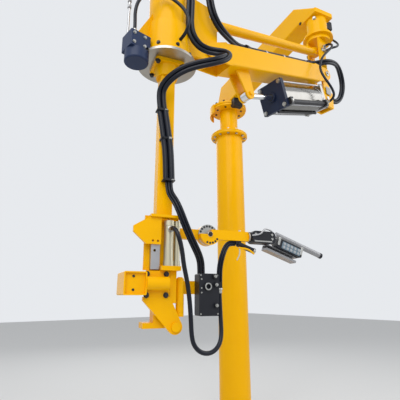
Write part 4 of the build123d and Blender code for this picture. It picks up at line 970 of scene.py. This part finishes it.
@dataclass(frozen=True)
class Yoke(Workbench):
    """Pin retainers, blank plate and hose ends of the yoke."""

    body: str = "yoke"
    pin_x: float = -0.3872
    pin_levels: Pair = (3.156, 3.403)
    plate_back: Triple = (-0.380, -1.6124, 3.003)

    def build(self) -> None:
        """Make the fittings."""
        low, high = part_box("yoke_pins")
        ends = {"front": low[1], "back": high[1]}
        washer = ((20.0, 0.0), (21.0, 0.8), (21.0, 3.4), (20.0, 4.2))
        spots, facings = [], []
        for (index, z), (side, y) in product(enumerate(self.pin_levels), ends.items()):
            spots.append(Vector((self.pin_x, y, z)))
            facings.append(FRONT if side == "front" else BACK)
            self.turned(f"yoke_pin_washer_{index}_{side}", spots[-1] - facings[-1] * 0.004, facings[-1], washer, ZINC)
        self.bolts("yoke_pin_bolts", 0.017, 0.007, spots, facings)
        self.plate("yoke_blank_plate", Vector(self.plate_back), RIGHT, UP, (62, 66, 1.6), PLATE_GREY, 4.0)
        self.ferrule("elbow_hose_far_end", YOKE_ELBOW_PORT, FRONT)
        self.ferrule("cylinder_hose_end", YOKE_CYLINDER_PORT, FRONT)


@dataclass(frozen=True)
class Boom(Workbench):
    """Bands round the boom's conduit and the sleeves at its ends."""

    body: str = "boom"
    saddles: Triple = (225.0, 500.0, 700.0)
    band: Triple = (18.6, 1.9, 14.0)
    rear_sleeve: float = 205.0
    front_sleeve: float = 862.0

    def build(self) -> None:
        """Make the bands and the sleeves."""
        along = boom_point(1, 0, 0) - boom_point(0, 0, 0)
        for index, at in enumerate(self.saddles):
            self.ring(f"conduit_band_{index}", boom_point(at - self.band[2] / 2), along, self.band, STEEL)
        sleeve = ((17.4, 0.0), (19.0, 1.0), (19.5, 14.0), (25.4, 32.0), (26.2, 46.0), (24.6, 47.0))
        self.turned("conduit_boot_rear", boom_point(self.rear_sleeve), -along, sleeve, HOSE_RUBBER)
        self.turned("conduit_boot_front", boom_point(self.front_sleeve), along, sleeve, HOSE_RUBBER)


@dataclass(frozen=True)
class LiftCylinder(Workbench):
    """Screws, tie rods, seams, rod seal and side fitting of the lift cylinder."""

    body: str = "lift_cylinder"
    pin: Triple = (-0.3872, -1.5434, 2.939)
    along: Triple = (-0.952394, 0.0, -0.304871)
    below: Triple = (0.304871, 0.0, -0.952394)
    corner: float = 84.0
    rear_back: float = 107.0
    rear_front: float = 137.0
    front_back: float = 617.0
    front_face: float = 647.0
    gland_face: float = 659.0

    def station(self, along: float, across: float = 0.0, below: float = 0.0) -> Vector:
        """Turn millimetres from the pin along the cylinder, across it and under it into a place in metres."""
        offset = Vector(self.along) * along + Vector((0, across, 0)) + Vector(self.below) * below
        return Vector(self.pin) + offset * MM

    def build(self) -> None:
        """Make the fittings."""
        ahead = Vector(self.along)
        sides, levels = {"front": -self.corner, "back": self.corner}, {"high": -self.corner, "low": self.corner}
        rod = ((6.0, -2.0), (6.0, self.front_back - self.rear_front + 2.0))
        for (side, across), (level, below) in product(sides.items(), levels.items()):
            foot = self.station(self.rear_front, across, below)
            self.turned(f"tie_rod_{side}_{level}", foot, ahead, rod, STEEL, segments=ROUND)
        corners = list(product(sides.values(), levels.values()))
        faces = [self.station(self.front_face, *corner) for corner in corners]
        backs = [self.station(self.rear_back, *corner) for corner in corners]
        self.bolts("cylinder_front_screws", 0.024, 0.009, faces, ahead, head=BoltHead.CAP)
        self.bolts("cylinder_rear_nuts", 0.022, 0.011, backs, -ahead)
        for name, at in (("rear", 139.0), ("front", 602.0)):
            self.ring(f"barrel_seam_{name}", self.station(at), ahead, (96.2, 3.0, 13.0), STEEL, segments=64)
        gland = self.station(self.gland_face)
        self.ring("gland_ring", gland, ahead, (34.0, 9.0, 3.0), NAVY_PLATE)
        self.ring("rod_wiper", gland, ahead, (25.0, 4.6, 5.0), BLACK_PLASTIC)
        self.ferrule("cylinder_hose_far_end", CYLINDER_PORT, FRONT)
        self.bolts("side_fitting_plug", 0.018, 0.007, [self.station(602.0, -124.4, 70.0)], FRONT)


@dataclass(frozen=True)
class Head(Workbench):
    """Skirt screws, caliper screws, air rod caps and drum seam of the head."""

    body: str = "head"
    skirt_circle: float = 0.1303
    skirt_level: float = 2.664
    skirt_angles: tuple[float, ...] = (218, 263, 308, 353, 38, 83, 128)
    caliper_levels: Pair = (2.619, 2.672)
    caliper_reaches: Pair = (0.172, 0.232)
    caliper_half: float = 0.050
    rod_foot: Triple = (0.230, -0.030, 2.690)
    rod_caps: Triple = (0.013, 0.201, 0.241)
    drum_seam: float = 2.826

    def build(self) -> None:
        """Make the fasteners and the fittings."""
        outers = [compass(angle) for angle in self.skirt_angles]
        spots = [MAST_FOOT + UP * self.skirt_level + outer * self.skirt_circle for outer in outers]
        self.bolts("skirt_screws", 0.017, 0.007, spots, outers, BLACK_OXIDE)
        side = CALIPER_TURN @ BACK
        sizes = product(self.caliper_levels, self.caliper_reaches, (self.caliper_half, -self.caliper_half))
        spots = [caliper_point(reach, across, level) for level, reach, across in sizes]
        self.bolts("caliper_screws", 0.014, 0.006, spots, [side, -side] * 4, head=BoltHead.CAP)
        self.ferrule("caliper_hose_end", CALIPER_PORT, UP)
        rod = caliper_point(*self.rod_foot)
        cap = ((9.5, 0.0), (10.5, 1.0), (10.5, 6.0), (8.0, 8.0))
        for index, at in enumerate(self.rod_caps):
            self.turned(f"air_rod_cap_{index}", rod + UP * at, UP, cap, ZINC)
        self.ring("drum_seam", MAST_FOOT + UP * self.drum_seam, UP, (108.3, 3.0, 3.0), BLACK_OXIDE, 0.4, 72)


@dataclass(frozen=True)
class Mast(Workbench):
    """Hub bolts under the brake disc and the clamps of the mast's conduit."""

    body: str = "mast"
    hub_under: float = 2587.0
    hub_half: float = 66.0
    clamps: tuple[Triple, ...] = ((-34.0, 2300.0, 7.0), (-9.0, 2150.0, 12.0), (7.6, 1936.0, 7.0))

    def build(self) -> None:
        """Make the fasteners and the clamps."""
        halves = (-self.hub_half, self.hub_half)
        self.bolts("hub_bolts", 0.022, 0.013, on_tool(*product(halves, halves, (self.hub_under,))), DOWN, BLACK_OXIDE)
        for index, (x, z, height) in enumerate(self.clamps):
            back = tool_point(x, -38.0, z)
            band, buckle = (60, height, 46), (14, height - 1.0, 3.0)
            self.plate(f"conduit_clamp_{index}", back, TOOL_RIGHT, UP, band, BLACK_PLASTIC, edge=9.0)
            front = back + TOOL_FRONT * 0.0455 + TOOL_RIGHT * 0.015
            self.plate(f"clamp_buckle_{index}", front, TOOL_RIGHT, UP, buckle, ZINC, 1.5, 0.8)


@dataclass(frozen=True)
class ClampTool(Workbench):
    """Screws and fittings of the clamping tool and its manifold."""

    body: str = "mast"
    plate_front: float = -74.1
    manifold_front: float = -68.0

    def build(self) -> None:
        """Make the fasteners and the fittings."""
        plate, front = self.plate_front, self.manifold_front
        spots = on_tool(*product((-82.0, 5.0), (plate,), (1405.0, 1495.0)))
        self.bolts("carriage_bolts", 0.019, 0.008, spots, TOOL_FRONT, BLACK_OXIDE)
        corners = product((172.0, 256.0), (front,), (1323.0, 1495.0))
        column = product((176.0,), (front,), (1417.0, 1437.0, 1477.0))
        self.bolts("manifold_screws", 0.006, 0.003, on_tool(*corners, *column), TOOL_FRONT, head=BoltHead.CAP)
        dial = tool_point(205.0, front - 11.9, 1444.0)
        self.ring("manifold_ring", dial, TOOL_FRONT, (17.0, 5.5, 2.4), ZINC)
        knobs = on_tool(*((x, front - 14.0, z) for x, z in ((246.0, 1360.0), (246.0, 1452.0), (240.0, 1490.0))))
        self.bolts("manifold_plugs", 0.012, 0.008, knobs, TOOL_FRONT)
        block = on_tool((-144.0, -94.0, 1427.0), (-144.0, -94.0, 1483.0))
        self.bolts("side_block_screws", 0.009, 0.003, block, TOOL_FRONT, BLACK_OXIDE, BoltHead.CAP)
        self.ferrule("loop_hose_end", tool_point(12.5, -101.0, 1694), TOOL_FRONT, HoseSet.signal)
        self.ferrule("loop_hose_far_end", tool_point(280, -38, 1438), DOWN, HoseSet.signal)


@dataclass(frozen=True)
class Handle(Workbench):
    """Hub, collar, neck, keypad, lever and strap of the handle, placed in the tool's frame in millimetres."""

    body: str = "handlebar"
    hinge_x: float = 232.0
    hinge_z: float = 1694.0
    stop_circle: float = 43.0
    disc_front: float = -18.3
    bar_front: float = -44.3
    bar_middle: float = -31.3
    knuckle_front: float = -62.0
    droop: float = math.radians(-19.5)
    panel_x: float = 690.0
    panel_z: float = 1648.0

    def slanted(self, along: float, across: float, y: float) -> Vector:
        """Give a place on the drooping panel, along its slope and square to it from its middle."""
        cos, sin = math.cos(self.droop), math.sin(self.droop)
        return tool_point(self.panel_x + (along * cos - across * sin), y, self.panel_z + (along * sin + across * cos))

    def by_bar(self, *points: Triple) -> list[Vector]:
        """Turn points of the tool's frame, with their depth from the bar's middle, into places."""
        return on_tool(*((x, self.bar_middle + y, z) for x, y, z in points))

    def hub(self) -> None:
        """Make the hub's nut, and thin black discs that paint the shade of the stop holes in the disc and the half
        round cheek.
        """
        centre = tool_point(self.hinge_x, self.bar_front, self.hinge_z)
        washer = ((12.0, 0.0), (13.0, 0.8), (13.0, 2.0), (12.0, 2.8))
        self.turned("hub_washer", centre - TOOL_FRONT * 0.0005, TOOL_FRONT, washer, STEEL)
        self.bolts("hub_nut", 0.018, 0.008, [centre + TOOL_FRONT * 0.0022], TOOL_FRONT, BLACK_OXIDE)
        # Black discs where the stop holes are: painted shade in the holes.
        painted_hole_shades = []
        for y, angles in ((self.bar_front, range(-112, -30, 20)), (self.disc_front, range(40, 161, 20))):
            for angle in map(math.radians, angles):
                x = self.hinge_x + self.stop_circle * math.cos(angle)
                painted_hole_shades.append(tool_point(x, y, self.hinge_z + self.stop_circle * math.sin(angle)))
        self.bolts("stop_holes", 0.009, 0.0012, painted_hole_shades, TOOL_FRONT, BLACK_OXIDE, BoltHead.CAP)

    def neck(self) -> None:
        """Make the collar's bands, the neck's loop and the knuckle's screws."""
        z = self.hinge_z
        ring, band, screw = self.by_bar((443.6, 0, z), (450, 0, z), (400, 0, z + 24))
        self.ring("collar_ring", ring, TOOL_RIGHT, (26.9, 6.0, 6.0), ZINC)
        self.ring("collar_band", band, TOOL_RIGHT, (26.6, 6.0, 8.2), BLACK_PLASTIC)
        loop = self.by_bar(
            (458, -27, 1700), (480, -34, 1702), (505, -36, 1710), (520, -34, 1728), (540, -26, 1739),
            (566, -20, 1738), (586, -24, 1724), (600, -26, 1702),
        )
        self.tube("neck_loop", loop, 0.009, STEEL)
        strip = tool_point(520, self.knuckle_front, z - 22)
        self.plate("knuckle_strip", strip, TOOL_RIGHT, UP, (104, 7, 2.0), ZINC)
        rises = ((478.0, 14.0), (574.0, 14.0), (574.0, -8.0))
        spots = on_tool(*((x, self.knuckle_front, z + rise) for x, rise in rises))
        self.bolts("knuckle_screws", 0.010, 0.004, spots, TOOL_FRONT, head=BoltHead.CAP)
        self.bolts("bar_top_screw", 0.012, 0.008, [screw], UP)

    def panel(self) -> None:
        """Make the keypad with its keys, the bright brackets and the grip's end."""
        right = self.slanted(1, 0, 0) - self.slanted(0, 0, 0)
        upward = self.slanted(0, 1, 0) - self.slanted(0, 0, 0)
        self.plate("keypad", self.slanted(8, -2, -50.0), right, upward, (118, 38, 2.4), KEYPAD_BLUE, 4.0, 0.6)
        centre, row, column = self.slanted(8, -2, -52.4), right.normalized(), upward.normalized()
        steps = product((-0.046, -0.023, 0.0, 0.023, 0.046), (-0.009, 0.009))
        keys = [centre + row * x + column * y for x, y in steps]
        self.bolts("keypad_keys", 0.013, 0.0022, keys, row.cross(column), KEY_GREY, BoltHead.CAP)
        for index, along in enumerate((-72.0, 72.0)):
            face = self.slanted(along, 10, -50.2)
            self.plate(f"grip_bracket_face_{index}", face, right, upward, (13, 44, 3.0), ZINC, edge=0.6)
        self.plate("panel_rim", self.slanted(0, 25.2, -25.0), right, -TOOL_FRONT, (156, 46, 2.0), ZINC, 3.0)
        start, end = on_tool((640, 4, 1724), (933, 4, 1620))
        cap = ((15.0, -14.0), (15.8, -13.0), (15.8, 0.5), (13.0, 3.0))
        self.turned("grip_end_cap", end, end - start, cap, BLACK_PLASTIC)

    def lever(self) -> None:
        """Make the yellow lever, its tip and the strap under the bar."""
        trigger = self.by_bar(
            (383, -16, 1634), (402, -19, 1632), (428, -19, 1630), (452, -16, 1622), (472, -12, 1608)
        )
        self.tube("trigger", trigger, 0.010, YELLOW)
        start, end = self.by_bar((385, 0, 1656), (482, 0, 1622))
        tip = ((14.0, -10.0), (15.0, -9.0), (15.0, 0.0), (12.0, 2.5))
        self.turned("lever_tip", end, end - start, tip, ZINC)
        strap = self.by_bar((388, -17, 1630), (389, -19, 1612), (384, -19, 1594), (376, -18, 1580), (372, -17, 1572))
        self.tube("lever_strap", strap, 0.007, STRAP_CREAM)

    def build(self) -> None:
        """Make every detail of the handle."""
        for make in (self.hub, self.neck, self.panel, self.lever):
            make()


@dataclass(frozen=True)
class Lamp:
    """A soft square lamp, by its place and the place it points at in metres, its side and its power in watts."""

    name: str
    place: Triple
    aim: Triple
    size: float
    power: float

    def build(self) -> Object:
        """Make the lamp.

        Returns:
            The lamp.
        """
        data = bpy.data.lights.new(self.name, "AREA")
        data.shape = "SQUARE"
        data.size = self.size
        data.energy = self.power
        lamp = show(self.name, data)
        lamp.location = self.place
        lamp.rotation_euler = (Vector(self.aim) - Vector(self.place)).to_track_quat("-Z", "Y").to_euler()
        return lamp


@dataclass(frozen=True)
class Studio:
    """A pale floor, pale surroundings and soft light from above.

    Args:
        seen_light: the surroundings' strength to the camera and in reflections.
        cast_light: their strength as a light.
    """

    floor_colour: Triple = (0.72, 0.72, 0.71)
    floor_roughness: float = 0.8
    floor_half: float = 20.0
    sky_colour: Triple = (0.80, 0.82, 0.85)
    seen_light: float = 1.0
    cast_light: float = 0.70
    lamps: tuple[Lamp, ...] = (
        Lamp("key_lamp", (-5.5, -5.0, 6.5), (-0.8, -1.0, 2.6), 6.0, 320.0),
        Lamp("fill_lamp", (3.5, -5.5, 4.5), (-0.6, -0.8, 2.4), 5.0, 130.0),
        Lamp("rim_lamp", (1.5, 4.5, 6.0), (-0.6, -0.8, 2.8), 6.0, 130.0),
    )

    def floor(self) -> Object:
        """Make the floor.

        Returns:
            The floor.
        """
        half = self.floor_half
        mesh = bpy.data.meshes.new("floor")
        mesh.from_pydata([(-half, -half, 0), (half, -half, 0), (half, half, 0), (-half, half, 0)], [], [(0, 1, 2, 3)])
        material = bpy.data.materials.new("pale_floor")
        material.use_nodes = True
        shader = material.node_tree.nodes["Principled BSDF"]
        shader.inputs["Base Color"].default_value = (*self.floor_colour, 1.0)
        shader.inputs["Roughness"].default_value = self.floor_roughness
        mesh.materials.append(material)
        return show("floor", mesh)

    def sky(self) -> None:
        """Make the surroundings, brighter to the camera and in reflections than as a light."""
        world = bpy.data.worlds.new("studio")
        world.use_nodes = True
        sheet = NodeSheet(world.node_tree)
        rays = sheet.add("ShaderNodeLightPath").outputs
        seen = sheet.maths("MAXIMUM", rays["Is Camera Ray"], rays["Is Glossy Ray"])
        level = sheet.add("ShaderNodeMapRange", value=seen, to_min=self.cast_light, to_max=self.seen_light)
        background = world.node_tree.nodes["Background"]
        background.inputs["Color"].default_value = (*self.sky_colour, 1.0)
        sheet.feed(level, background.inputs["Strength"])
        bpy.context.scene.world = world

    def build(self) -> None:
        """Make floor, surroundings and lamps."""
        self.sky()
        self.floor()
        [lamp.build() for lamp in self.lamps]


def main() -> None:
    """Build the scene and report its pieces."""
    logging.basicConfig(level=logging.INFO, format="%(name)s: %(message)s")
    bpy.context.scene.view_settings.view_transform = "Standard"
    ViewPoint().build()
    HoseSet().build()
    finishes = {name: finish for finish, names in NODE_FINISHES.items() for name in names}
    for name, node in FRAME["nodes"].items():
        dress(node.data, finishes.get(name, YELLOW))
    for part in (Pedestal(), InnerArm(), Yoke(), Boom(), LiftCylinder(), Head(), Mast(), ClampTool(), Handle()):
        part.build()
    for piece in bpy.context.scene.objects:
        if piece.type == "MESH":
            LOG.info("piece %s, %d faces", piece.name, len(piece.data.polygons))
    Studio().build()


if __name__ == "__main__":
    main()
